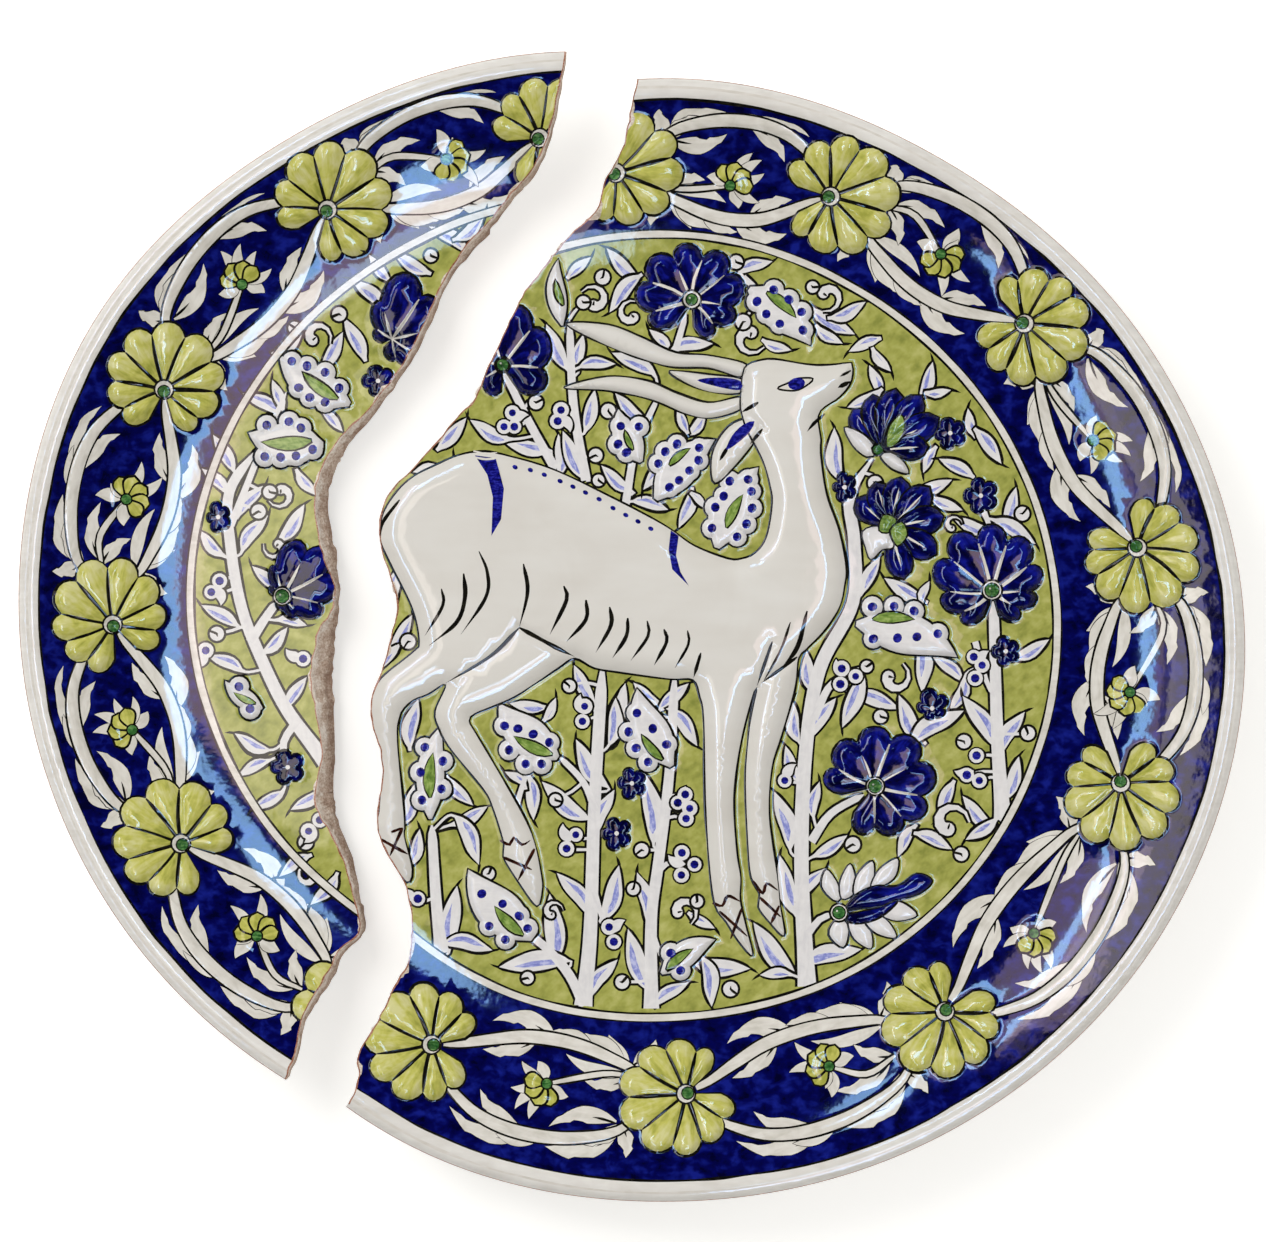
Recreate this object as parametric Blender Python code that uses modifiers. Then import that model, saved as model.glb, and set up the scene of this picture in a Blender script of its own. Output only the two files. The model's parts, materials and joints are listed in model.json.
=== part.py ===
"""A hand-painted relief plate of glazed earthenware, broken in two.

Each fragment is one solid: the turned plate, the relief pressed on its face, and the
slanted break. Both lie face up on what is left of one foot ring, a few centimetres apart.
Metres, +Z up. The origin is under the middle of the two fragments, on the table.
"""
import math

import bmesh
import bpy
from mathutils import Matrix, Vector

# --- driving dimensions, in metres --------------------------------------------------
MM = 0.001
PLATE_RADIUS = 0.200
FOOT_HEIGHT = 0.006
FLOOR_THICKNESS = 0.0095
GROUND_TOP = FOOT_HEIGHT + FLOOR_THICKNESS
FOOT_RADIUS = 0.1395
FOOT_WIDTH = 0.0075
LIP_WIDTH = 0.0077
LIP_CROWN = PLATE_RADIUS - 0.0044       # the highest line of the rounded lip
WARP_START = 0.110                      # the middle of the plate stayed round in the kiln
TURN_STEPS = 48

SUNK = 0.0015                           # how far each relief is rooted in the body
ROSETTE_RADIUS = 0.0192
PETALS = 10
BLOOM_LIFT = 0.0026                     # heights of the reliefs over the ground
GAZELLE_LIFT = 0.0026
LEAF_LIFT = 0.0018
FLOWER_LIFT = 0.0012
STEM_LIFT = 0.0006
STEM_WIDTH = 0.0042
RING_WIDTH = 0.0036
EDGE_SOFTNESS = 0.0008                  # chamfer round the gazelle
PETAL_SIDES = 3                         # sides of one petal of a rosette or large bloom
LOBE_SIDES = 2                          # sides of one lobe of anything smaller
SHOULDER = 0.72                         # where a boss's dome begins, as a share of its reach
NOTCH_DEPTH = 0.15                      # how far the gaps between petals cut in
GROOVE_DEPTH = 0.22                     # how deep the lines between petals lie
EDGE_SHARE = 0.45                       # share of a boss's height that its steep edge has

SLAB_WIDTH = 0.500                      # the piece that broke away, as a slab:
SLAB_TOP = 0.060
SLAB_BOTTOM = -0.020
SLAB_STEP = 0.020                       # its sides stand upright this far past the fracture

# turned face from the rim inwards: (mm in from the rim, mm above the ground)
FACE_PROFILE = [(PLATE_RADIUS - inset * MM, GROUND_TOP + rise * MM) for inset, rise in (
    (0.0, 19.3), (1.1, 21.7), (4.4, 22.9), (7.7, 21.7), (18.0, 15.7), (31.0, 9.4),
    (46.0, 3.8), (63.0, 0.0), (200.0, 0.0))]
# back of the border from the foot outwards: (mm in from the rim, mm above the table)
BACK_PROFILE = [(PLATE_RADIUS - inset * MM, height * MM) for inset, height in (
    (58.5, 6.8), (44.0, 10.2), (7.0, 28.4), (1.8, 32.2))]
FOOT_PROFILE = [(0.0, FOOT_HEIGHT), (FOOT_RADIUS - FOOT_WIDTH, FOOT_HEIGHT),
                (FOOT_RADIUS - FOOT_WIDTH, 0.0), (FOOT_RADIUS, 0.0)]

# how far the rim and the painted ring reach from the plate's middle, every 30 degrees
LARGE_RIM = [200.5, 197.1, 195.7, 202.0, 204.0, 203.0, 203.0, 206.0, 206.4, 200.8, 199.5, 200.3]
LARGE_RING = [133.5, 136.2, 140.0, 146.3, 150.0, 151.0, 150.0, 147.0, 142.2, 134.9, 132.5, 132.2]
SMALL_RIM = [199.0, 199.0, 199.0, 200.0, 197.6, 201.2, 199.7, 198.6, 198.4, 199.0, 199.0, 199.0]
SMALL_RING = [140.0, 140.0, 140.0, 147.0, 142.8, 140.3, 138.6, 135.6, 134.2, 140.0, 140.0, 140.0]

# middles of the two plates, which no longer share an axis
LARGE_MIDDLE = Vector((0.0195, -0.0053, 0.0))
SMALL_MIDDLE = Vector((-0.0203, 0.0065, 0.0))

# breaks, top to bottom, in mm: (x, y, how far the fracture runs out under the face)
LARGE_BREAK = [
    (-9, 235, 2), (-18, 199, 2), (-20, 190, 2.5), (-23.5, 176, 3), (-29.5, 164, 4), (-32, 155, 3),
    (-43, 145, 3), (-52, 134, 3), (-58, 126, 3), (-62, 118, 3), (-69, 103, 3), (-76, 88, 3.5),
    (-82.5, 80.5, 4), (-91.5, 70, 5), (-97.5, 63.5, 5), (-106, 55, 6), (-110, 45, 6), (-110, 35, 5),
    (-107.5, 27, 4), (-105, 17, 4), (-104.3, 9, 4), (-107.5, -2, 5), (-110, -11, 6), (-113, -20, 6),
    (-113, -28, 6), (-110, -39, 5), (-109.3, -49, 5), (-111, -60, 5), (-111, -69, 5),
    (-107.5, -77, 4), (-102, -86, 3.5), (-99.3, -97, 3), (-98.8, -107, 3), (-100, -115.5, 3),
    (-103.5, -121, 3), (-106.5, -127, 3), (-109.5, -133, 3), (-114.5, -142, 3), (-117.3, -147, 3),
    (-117.6, -151, 3), (-117, -155, 3), (-118.6, -160, 3), (-122, -167.5, 3), (-146, -225, 3)]
SMALL_BREAK = [
    (2, 235, 1), (-3.6, 199.5, 1), (-4.6, 191, 1), (-8, 175, 1.5), (-13, 161, 2.2),
    (-23.5, 148.5, 3), (-32, 138, 3.4), (-40, 129, 3), (-48.5, 116, 3), (-54, 103, 2.8),
    (-61.5, 88.5, 3), (-73.5, 72.5, 3.6), (-86, 60, 4.5), (-92, 49, 5), (-93.5, 37, 5),
    (-92, 25, 5), (-89.5, 10, 4), (-89.5, 0, 4.5), (-92.5, -9, 6), (-95, -21, 7.5),
    (-94.3, -33, 7), (-92, -44, 5), (-91, -52, 4), (-92.6, -62, 5.5), (-93, -71, 6.5),
    (-90, -80, 5.5), (-86, -90, 4.5), (-81.5, -101, 2.5), (-78.6, -110, 1.6), (-78, -117, 1.6),
    (-84, -122.5, 4), (-88.5, -130, 4), (-92.5, -137, 3.5), (-96.5, -144, 3), (-98.4, -150, 3),
    (-100, -158, 2), (-104, -168.5, 1.5), (-126, -225, 1.5)]

# border rosettes: (angle in degrees, radius in mm), anticlockwise end first
LARGE_ROSETTES = [(97.4, 171.5), (70.9, 169.3), (42.1, 168.0), (10.6, 166.8), (-19.2, 165.5),
                  (-56.2, 163.5), (-91.2, 163.8), (-123.4, 172.5)]
SMALL_ROSETTES = [(240.5, 165.0), (209.6, 166.2), (180.8, 167.6), (150.8, 168.7), (120.7, 170.0),
                  (93.2, 170.8)]

# the gazelle, in mm from the large plate's middle
GAZELLE = [
    (59.5, 100.3), (60, 97), (58, 91), (53.5, 86.5), (49.5, 83.5), (48, 77), (48, 68), (50.5, 54),
    (55, 40), (57.5, 28), (56.5, 16), (51.5, 6), (44, -2.5), (40.5, -6), (39, -18), (34, -35),
    (30.8, -52), (30.6, -66), (33, -84), (35.4, -105), (26.5, -96), (26, -90), (23, -83),
    (22, -65), (21.5, -45), (23.5, -27), (25.2, -17), (22, -27), (18.8, -45), (17.3, -60),
    (19.5, -84), (20.5, -98), (24, -112.5), (14, -101), (9.6, -93), (8.2, -78), (6.8, -50),
    (6, -28), (2.5, -14), (-12, -13), (-26, -10.8), (-40, -6.2), (-53, -14.5), (-66, -22),
    (-78, -27.5), (-73, -37.5), (-64, -53), (-55.5, -69), (-52.2, -84), (-53.7, -95), (-64, -81),
    (-65.6, -74), (-70, -59), (-79, -46), (-88.5, -32), (-90, -23), (-86.5, -15.5), (-98, -21),
    (-103.2, -28), (-103.5, -40), (-101.5, -64), (-98.6, -80), (-100.6, -86.5), (-109, -74),
    (-112, -64), (-111.5, -48), (-114.5, -30), (-113, -19), (-104, -9), (-96.5, -1), (-97.5, 9),
    (-104, 24), (-111, 38), (-109.5, 47), (-101, 57.5), (-88, 64.6), (-73, 68.3), (-57, 65.3),
    (-38, 57.5), (-18, 47), (-3, 39), (9, 31.6), (20, 29.8), (28, 36), (31, 48), (28.5, 62),
    (23, 75), (19.6, 86), (21, 98), (30, 101.3), (44, 99.6)]
UPPER_HORN = [(21, 99.8), (8, 103), (-4, 104), (-16, 109.5), (-28, 114), (-43, 114.3),
              (-30, 107), (-18, 102.3), (-6, 98.9), (8, 98.4), (19, 95.2)]
LOWER_HORN = [(19.6, 88), (8, 86), (-3, 89.2), (-14, 93.8), (-28, 95.4), (-44, 91.3),
              (-28, 90.2), (-12, 86.8), (0, 81.8), (9, 80.3), (19.4, 83.6)]
UPPER_EAR = [(20, 94.4), (8, 96.1), (-6, 96.9), (1, 92.2), (10, 89.4), (20, 89.6)]
LOWER_EAR = [(25, 87), (17, 81.6), (11.5, 73.5), (9, 65), (10.4, 57), (18, 63.6), (27.6, 76)]

# flowers, leaves and stems of the two fields: (x, y, length, width, turn in degrees, lobes)
LARGE_BLOOMS = [
    (1.5, 125.5, 38, 33, 0, 9), (109, 22.5, 38, 36, 0, 9), (69, -50.5, 39, 38, 0, 9),
    (-62, 103, 25, 36, 10, 6), (75.5, 78, 27, 24, 0, 6), (77, 41, 27, 31, 0, 7),
    (57, 55.5, 8, 11, 0, 5), (95, 75, 11, 11, 0, 5), (106, 52.5, 12, 13, 0, 5),
    (115, -3.5, 10, 10, 0, 5), (88.5, -22.5, 11, 11, 0, 5), (-19.5, -51, 10, 11, 0, 5),
    (-25, -69, 10, 12, 0, 5), (72, -91, 33, 10, 18, 4)]
LARGE_DOTTED = [
    (34.5, 119, 31, 17, -38, 7), (-3, 62, 28, 16, 50, 7), (16, 48, 30, 20, 68, 7),
    (78, 6, 36, 18, -4, 7), (-57, -36, 30, 17, -42, 7), (-12, -33, 31, 15, -55, 7),
    (-66, -98, 34, 18, -42, 8), (-91, -47, 33, 13, 88, 7), (-45, 123, 20, 11, 105, 5),
    (-21, 73, 17, 13, -55, 5)]
LARGE_STEMS = [
    (4.6, [(-37, -129), (-35.5, -100), (-33, -60), (-31.5, -10)]),
    (3.6, [(-14, -132), (-12.5, -100), (-9, -60), (-4, -15)]),
    (4.4, [(43.5, -121), (41.5, -80), (43, -40), (48, -10), (60, 14), (60.5, 36), (59, 52), (67, 66)]),
    (3.4, [(46, -70), (52, -62), (64, -55)]),
    (4.4, [(114, -63), (112, -35), (111, 0), (110.5, 15)]),
    (3.8, [(-88, -110), (-90.5, -85), (-92, -70)]),
    (3.4, [(-38, 62), (-40.5, 85), (-41.5, 100), (-42.5, 116)]),
    (3.4, [(-49, 62), (-56, 78), (-65, 95)])]
SMALL_BLOOMS = [(-61, 103, 19, 32, 25, 6), (-99, 10, 24, 28, 0, 7), (-71, 82, 11, 11, 0, 5),
                (-128.5, 33, 8, 11, 0, 5), (-103.5, -57, 12, 12, 0, 5)]
SMALL_DOTTED = [(-94, 81, 30, 17, -35, 8), (-103.5, 60, 28, 20, -6, 8), (-119, -32.5, 17, 9, -38, 5)]
SMALL_STEMS = [
    (4.4, [(-93, -51), (-104, -36), (-113, -18), (-120, 0), (-124, 22), (-124.5, 42), (-116, 57)]),
    (3.6, [(-116, -12), (-112, -4), (-108, 2)])]

# --- materials ----------------------------------------------------------------------
def finish(name, red, green, blue, roughness):
    """A Principled material of the given linear colour."""
    material = bpy.data.materials.new(name)
    material.use_nodes = True
    shader = material.node_tree.nodes["Principled BSDF"]
    shader.inputs["Base Color"].default_value = (red, green, blue, 1.0)
    shader.inputs["Roughness"].default_value = roughness
    shader.inputs["Metallic"].default_value = 0.0
    material.diffuse_color = (red, green, blue, 1.0)
    return material


# --- the plate's surfaces -----------------------------------------------------------
def reach(table, angle):
    """Smooth closed curve through radii given every 30 degrees, as Catmull and Rom draw it."""
    place = math.degrees(angle) / 30.0
    step = math.floor(place)
    t = place - step
    before, start, end, after = (table[(step + k) % 12] for k in (-1, 0, 1, 2))
    slope = (end - before) * t
    bend = (2 * before - 5 * start + 4 * end - after) * t ** 2
    twist = (3 * start - before - 3 * end + after) * t ** 3
    return (start + (slope + bend + twist) / 2) * MM


def stretch(rim, radius, angle):
    """How far out of round a point of the turned plate sits."""
    ease = min(max((radius - WARP_START) / (PLATE_RADIUS - WARP_START), 0.0), 1.0)
    return 1.0 + (reach(rim, angle) / PLATE_RADIUS - 1.0) * ease * ease * (3 - 2 * ease)


def turned_radius(rim, x, y):
    """Radius that a point had on the wheel, before the plate warped."""
    radius = math.hypot(x, y)
    return radius / stretch(rim, radius, math.atan2(y, x))


def face_height(rim, x, y):
    """Height of the plate's face over a point; past the lip it stays level."""
    turned = min(turned_radius(rim, x, y), LIP_CROWN)
    for (r0, z0), (r1, z1) in zip(FACE_PROFILE, FACE_PROFILE[1:]):
        if turned >= r1:
            return z0 + (z1 - z0) * (r0 - turned) / (r0 - r1)
    return GROUND_TOP


# --- modelling helpers --------------------------------------------------------------
def new_object(name, mesh, material, group):
    body = bpy.data.objects.new(name, mesh)
    mesh.materials.append(material)
    group.objects.link(body)
    return body


def solid_from_curve(name, curve, material, group):
    """Turn a curve into a closed mesh object; its loose caps are welded on."""
    source = bpy.data.objects.new(name, curve)
    group.objects.link(source)
    evaluated = source.evaluated_get(bpy.context.evaluated_depsgraph_get())
    mesh = bpy.data.meshes.new_from_object(evaluated)
    bpy.data.objects.remove(source)
    bm = bmesh.new()
    bm.from_mesh(mesh)
    bmesh.ops.remove_doubles(bm, verts=bm.verts, dist=0.01 * MM)
    bmesh.ops.recalc_face_normals(bm, faces=bm.faces)
    bm.to_mesh(mesh)
    bm.free()
    mesh.materials.clear()
    return new_object(name, mesh, material, group)


def drape(body, rim):
    """Lay a flat relief on the plate's face."""
    for vertex in body.data.vertices:
        vertex.co.z += face_height(rim, vertex.co.x, vertex.co.y)


def flat_relief(name, outline, lift, soft, material, group, rim):
    """A flat figure with softened edges, from its outline in mm."""
    curve = bpy.data.curves.new(name, "CURVE")
    curve.dimensions = "2D"
    curve.fill_mode = "BOTH"
    curve.resolution_u = 1
    curve.bevel_depth = soft
    curve.bevel_resolution = 0
    curve.offset = -soft
    curve.extrude = (lift + SUNK) / 2 - soft
    spline = curve.splines.new("BEZIER")
    spline.bezier_points.add(len(outline) - 1)
    spline.use_cyclic_u = True
    for point, (x, y) in zip(spline.bezier_points, outline):
        point.co = (x * MM, y * MM, 0.0)
        point.handle_left_type = "AUTO"
        point.handle_right_type = "AUTO"
    body = solid_from_curve(name, curve, material, group)
    body.data.transform(Matrix.Translation((0.0, 0.0, (lift - SUNK) / 2)))
    drape(body, rim)
    return body


def boss(name, middle, size, turn, lobes, lift, material, group, rim):
    """A domed relief with scalloped edge: a rosette, a bloom or a dotted leaf."""
    sides = PETAL_SIDES if lobes > 8 else LOBE_SIDES
    bm = bmesh.new()
    bmesh.ops.create_uvsphere(bm, u_segments=lobes * sides, v_segments=4, radius=1.0)
    for vertex in bm.verts:
        out = math.hypot(vertex.co.x, vertex.co.y)
        angle = math.atan2(vertex.co.y, vertex.co.x)
        notch = (1.0 - abs(math.sin(lobes * angle / 2))) ** 2
        level = vertex.co.z
        spread = SHOULDER if level > 0.1 else 1.0
        if out > 0.01:
            spread *= (1.0 - NOTCH_DEPTH * notch) / out
            vertex.co.x *= spread
            vertex.co.y *= spread
        if level < -0.1:
            vertex.co.z = -SUNK
        else:
            dome = abs(level) ** 0.5 * (1.0 - GROOVE_DEPTH * notch * min(out, 1.0))
            vertex.co.z = lift * (EDGE_SHARE + (1.0 - EDGE_SHARE) * dome)
    mesh = bpy.data.meshes.new(name)
    bm.to_mesh(mesh)
    bm.free()
    place = Matrix.Translation(middle) @ Matrix.Rotation(turn, 4, "Z")
    mesh.transform(place @ Matrix.Diagonal((size[0] / 2, size[1] / 2, 1.0, 1.0)))
    body = new_object(name, mesh, material, group)
    drape(body, rim)
    return body


def stem(name, width, points, closed, material, group, rim):
    """A low painted band that stands a little proud of the ground, along points in metres."""
    curve = bpy.data.curves.new(name, "CURVE")
    curve.dimensions = "3D"
    curve.bevel_depth = width / 2
    curve.bevel_resolution = 0
    curve.use_fill_caps = not closed
    spline = curve.splines.new("POLY")
    spline.points.add(len(points) - 1)
    spline.use_cyclic_u = closed
    for point, (x, y) in zip(spline.points, points):
        point.co = (x, y, 0.0, 1.0)
    body = solid_from_curve(name, curve, material, group)
    body.data.transform(Matrix.Diagonal((1.0, 1.0, 2 * STEM_LIFT / width, 1.0)))
    drape(body, rim)
    return body


def through(points, steps):
    """Points along a smooth open curve through the given ones."""
    ends = [points[0], *points, points[-1]]
    path = []
    for before, start, end, after in zip(ends, ends[1:], ends[2:], ends[3:]):
        for k in range(steps):
            t = k / steps
            path.append(tuple(
                b + ((c - a) * t + (2 * a - 5 * b + 4 * c - d) * t * t
                     + (3 * b - a - 3 * c + d) * t ** 3) / 2
                for a, b, c, d in zip(before, start, end, after)))
    return path + [points[-1]]


def polar(radius, degrees):
    return (radius * math.cos(math.radians(degrees)), radius * math.sin(math.radians(degrees)))


# --- the turned body ----------------------------------------------------------------
def turned_plate(name, rim, materials, group):
    """The plate as it came off the wheel, then warped out of round."""
    profile = FACE_PROFILE[::-1] + BACK_PROFILE[::-1] + FOOT_PROFILE[::-1]
    bm = bmesh.new()
    line = [bm.verts.new((r, 0.0, z)) for r, z in profile]
    for start, end in zip(line, line[1:]):
        bm.edges.new((start, end))
    mesh = bpy.data.meshes.new(name)
    bm.to_mesh(mesh)
    bm.free()
    body = new_object(name, mesh, materials["cream"], group)
    screw = body.modifiers.new("turn", "SCREW")
    screw.steps = TURN_STEPS
    screw.render_steps = TURN_STEPS
    screw.use_merge_vertices = True
    screw.merge_threshold = 0.00001
    body = settled(body, group)
    bm = bmesh.new()
    bm.from_mesh(body.data)
    for vertex in bm.verts:
        radius = math.hypot(vertex.co.x, vertex.co.y)
        scale = stretch(rim, radius, math.atan2(vertex.co.y, vertex.co.x))
        vertex.co.x *= scale
        vertex.co.y *= scale
    bmesh.ops.dissolve_limit(bm, angle_limit=0.0005, verts=bm.verts, edges=bm.edges)
    bmesh.ops.recalc_face_normals(bm, faces=bm.faces)
    bm.to_mesh(body.data)
    bm.free()
    return body


def settled(body, group):
    """Apply an object's modifiers by keeping its evaluated mesh."""
    name = body.name
    evaluated = body.evaluated_get(bpy.context.evaluated_depsgraph_get())
    mesh = bpy.data.meshes.new_from_object(evaluated)
    bpy.data.objects.remove(body)
    settled_body = bpy.data.objects.new(name, mesh)
    group.objects.link(settled_body)
    return settled_body


# --- relief -------------------------------------------------------------------------
def border_relief(rosettes, rim, materials, group):
    """Rosettes, the small flowers between them and the two stems that join each pair."""
    for index, (angle, radius) in enumerate(rosettes):
        size = (2 * ROSETTE_RADIUS, 2 * ROSETTE_RADIUS)
        boss(f"rosette_{index}", (*polar(radius * MM, angle), 0.0), size, math.radians(angle),
             PETALS, BLOOM_LIFT, materials["lime"], group, rim)
    for index, ((a0, r0), (a1, r1)) in enumerate(zip(rosettes, rosettes[1:])):
        middle = ((r0 + r1) / 2, (a0 + a1) / 2)
        flower = (*polar((middle[0] - 1.5) * MM, middle[1] + 0.8), 0.0)
        boss(f"flower_{index}", flower, (15 * MM, 13 * MM), math.radians(middle[1]), 5,
             FLOWER_LIFT, materials["lime"], group, rim)
        upper = [(r0 + 10, a0 - 5.4), (middle[0] + 17, middle[1]), (r1 + 11, a1 + 6.0)]
        lower = [(r0 - 9, a0 - 5.4), (middle[0] - 17, middle[1] - 0.5), (r1 - 6, a1 + 5.2)]
        for side, knots in (("upper", upper), ("lower", lower)):
            path = [polar(r * MM, a) for r, a in through(knots, 2)]
            stem(f"{side}_stem_{index}", STEM_WIDTH, path, False, materials["white"], group, rim)


def ring(table, rim, materials, group):
    """The cream line between the border and the field."""
    turns = [360 * k / TURN_STEPS for k in range(TURN_STEPS)]
    path = [polar(reach(table, math.radians(turn)), turn) for turn in turns]
    stem("ring", RING_WIDTH, path, True, materials["white"], group, rim)


def field_relief(blooms, dotted, stems, rim, materials, group):
    """Blue flowers, dotted leaves and the stems that carry them."""
    for kind, rows, lift, colour in (("bloom", blooms, BLOOM_LIFT, "cobalt"),
                                     ("dotted_leaf", dotted, LEAF_LIFT, "white")):
        for index, (x, y, length, width, turn, lobes) in enumerate(rows):
            boss(f"{kind}_{index}", (x * MM, y * MM, 0.0), (length * MM, width * MM),
                 math.radians(turn), lobes, lift, materials[colour], group, rim)
    for index, (width, knots) in enumerate(stems):
        path = [(x * MM, y * MM) for x, y in through(knots, 2)]
        stem(f"stem_{index}", width * MM, path, False, materials["white"], group, rim)


def gazelle(rim, materials, group):
    for name, outline in (("gazelle", GAZELLE), ("upper_horn", UPPER_HORN),
                          ("lower_horn", LOWER_HORN), ("upper_ear", UPPER_EAR),
                          ("lower_ear", LOWER_EAR)):
        lift = GAZELLE_LIFT if name == "gazelle" else LEAF_LIFT
        flat_relief(name, outline, lift, EDGE_SOFTNESS, materials["white"], group, rim)


# --- breaking -----------------------------------------------------------------------
def break_cutter(name, line, rim, away, material, group):
    """What the break took away: a slab with the slanted fracture as its near side.

    The fracture passes through each point of the line at the face and runs out under it,
    to the right. The slab lies on the side that `away` gives: -1 for left, 1 for right.
    """
    points = [Vector((x * MM, y * MM)) for x, y, _ in line]
    rows = []
    for index, point in enumerate(points):
        along = (points[min(index + 1, len(points) - 1)] - points[max(index - 1, 0)]).normalized()
        outward = Vector((-along.y, along.x))
        run = outward * line[index][2] * MM
        height = face_height(rim, point.x, point.y)
        upper = point - run
        lower = point + run * 2
        side = Vector((away, 0.0))
        rows.append([(*upper, height + FLOOR_THICKNESS), (*lower, height - FLOOR_THICKNESS * 2),
                     (*(lower + side * SLAB_STEP), SLAB_BOTTOM),
                     (*(lower + side * SLAB_WIDTH), SLAB_BOTTOM),
                     (*(upper + side * SLAB_WIDTH), SLAB_TOP),
                     (*(upper + side * SLAB_STEP), SLAB_TOP)])
    bm = bmesh.new()
    sections = [[bm.verts.new(corner) for corner in row] for row in rows]
    for one, two in zip(sections, sections[1:]):
        for k in range(len(one)):
            after = (k + 1) % len(one)
            bm.faces.new((one[k], one[after], two[after], two[k]))
    bm.faces.new(sections[0])
    bm.faces.new(reversed(sections[-1]))
    bmesh.ops.recalc_face_normals(bm, faces=bm.faces)
    mesh = bpy.data.meshes.new(name)
    bm.to_mesh(mesh)
    bm.free()
    cutter = new_object(name, mesh, material, group)
    cutter.hide_render = True
    cutter.display_type = "WIRE"
    return cutter


def boolean(body, operation, operand):
    change = body.modifiers.new(operation.lower(), "BOOLEAN")
    change.operation = operation
    change.solver = "EXACT"
    change.material_mode = "TRANSFER"
    if isinstance(operand, bpy.types.Collection):
        change.operand_type = "COLLECTION"
        change.collection = operand
    else:
        change.object = operand


def paint(body, rim, ring_table, materials):
    """Give the grounds between the reliefs their fields of colour, and bare the foot."""
    slots = {material.name: index for index, material in enumerate(body.data.materials)}
    for name in ("cobalt", "lime", "biscuit"):
        if materials[name].name not in slots:
            slots[materials[name].name] = len(slots)
            body.data.materials.append(materials[name])
    for face in body.data.polygons:
        if body.data.materials[face.material_index] != materials["cream"]:
            continue
        x, y, z = face.center
        if face.normal.z > 0 and turned_radius(rim, x, y) < PLATE_RADIUS - LIP_WIDTH:
            in_field = math.hypot(x, y) < reach(ring_table, math.atan2(y, x))
            face.material_index = slots[materials["lime" if in_field else "cobalt"].name]
        elif z < SUNK:
            face.material_index = slots[materials["biscuit"].name]


def fragment(name, spec, materials, group, cutters):
    """One fragment: the warped plate with its relief, less what broke away."""
    rim = spec["rim"]
    reliefs = bpy.data.collections.new(f"{name}_reliefs")
    bpy.context.scene.collection.children.link(reliefs)
    body = turned_plate(name, rim, materials, group)
    ring(spec["ring"], rim, materials, reliefs)
    border_relief(spec["rosettes"], rim, materials, reliefs)
    field_relief(spec["blooms"], spec["dotted"], spec["stems"], rim, materials, reliefs)
    if spec["animal"]:
        gazelle(rim, materials, reliefs)
    cutter = break_cutter(f"{name}_break", spec["break"], rim, spec["away"],
                          materials["biscuit"], cutters)
    boolean(body, "UNION", reliefs)
    boolean(body, "DIFFERENCE", cutter)
    body = settled(body, group)
    for relief in list(reliefs.objects):
        bpy.data.objects.remove(relief)
    bpy.data.collections.remove(reliefs)
    paint(body, rim, spec["ring"], materials)
    body.data.transform(Matrix.Translation(spec["middle"]))
    cutter.location = spec["middle"]
    body.data.shade_smooth()
    body.data.set_sharp_from_angle(angle=math.radians(25))
    return body


def main():
    for old in list(bpy.data.objects):
        bpy.data.objects.remove(old)
    group = bpy.data.collections.new("broken_plate")
    cutters = bpy.data.collections.new("cutters")
    for made in (group, cutters):
        bpy.context.scene.collection.children.link(made)
    materials = {
        "cream": finish("cream_glaze", 0.72, 0.69, 0.65, 0.10),
        "white": finish("white_slip", 0.76, 0.74, 0.70, 0.10),
        "cobalt": finish("cobalt_glaze", 0.005, 0.005, 0.14, 0.08),
        "lime": finish("lime_glaze", 0.38, 0.42, 0.09, 0.10),
        "biscuit": finish("fired_earthenware", 0.38, 0.29, 0.22, 0.85),
    }
    large = {
        "rim": LARGE_RIM, "ring": LARGE_RING, "rosettes": LARGE_ROSETTES,
        "blooms": LARGE_BLOOMS, "dotted": LARGE_DOTTED, "stems": LARGE_STEMS,
        "animal": True, "break": LARGE_BREAK, "away": -1, "middle": LARGE_MIDDLE,
    }
    small = {
        "rim": SMALL_RIM, "ring": SMALL_RING, "rosettes": SMALL_ROSETTES,
        "blooms": SMALL_BLOOMS, "dotted": SMALL_DOTTED, "stems": SMALL_STEMS,
        "animal": False, "break": SMALL_BREAK, "away": 1, "middle": SMALL_MIDDLE,
    }
    fragment("large_fragment", large, materials, group, cutters)
    fragment("small_fragment", small, materials, group, cutters)


main()
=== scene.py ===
import json
import math
import bmesh
import bpy
import numpy as np
from mathutils import Matrix, Vector
from mathutils.geometry import delaunay_2d_cdt

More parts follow.
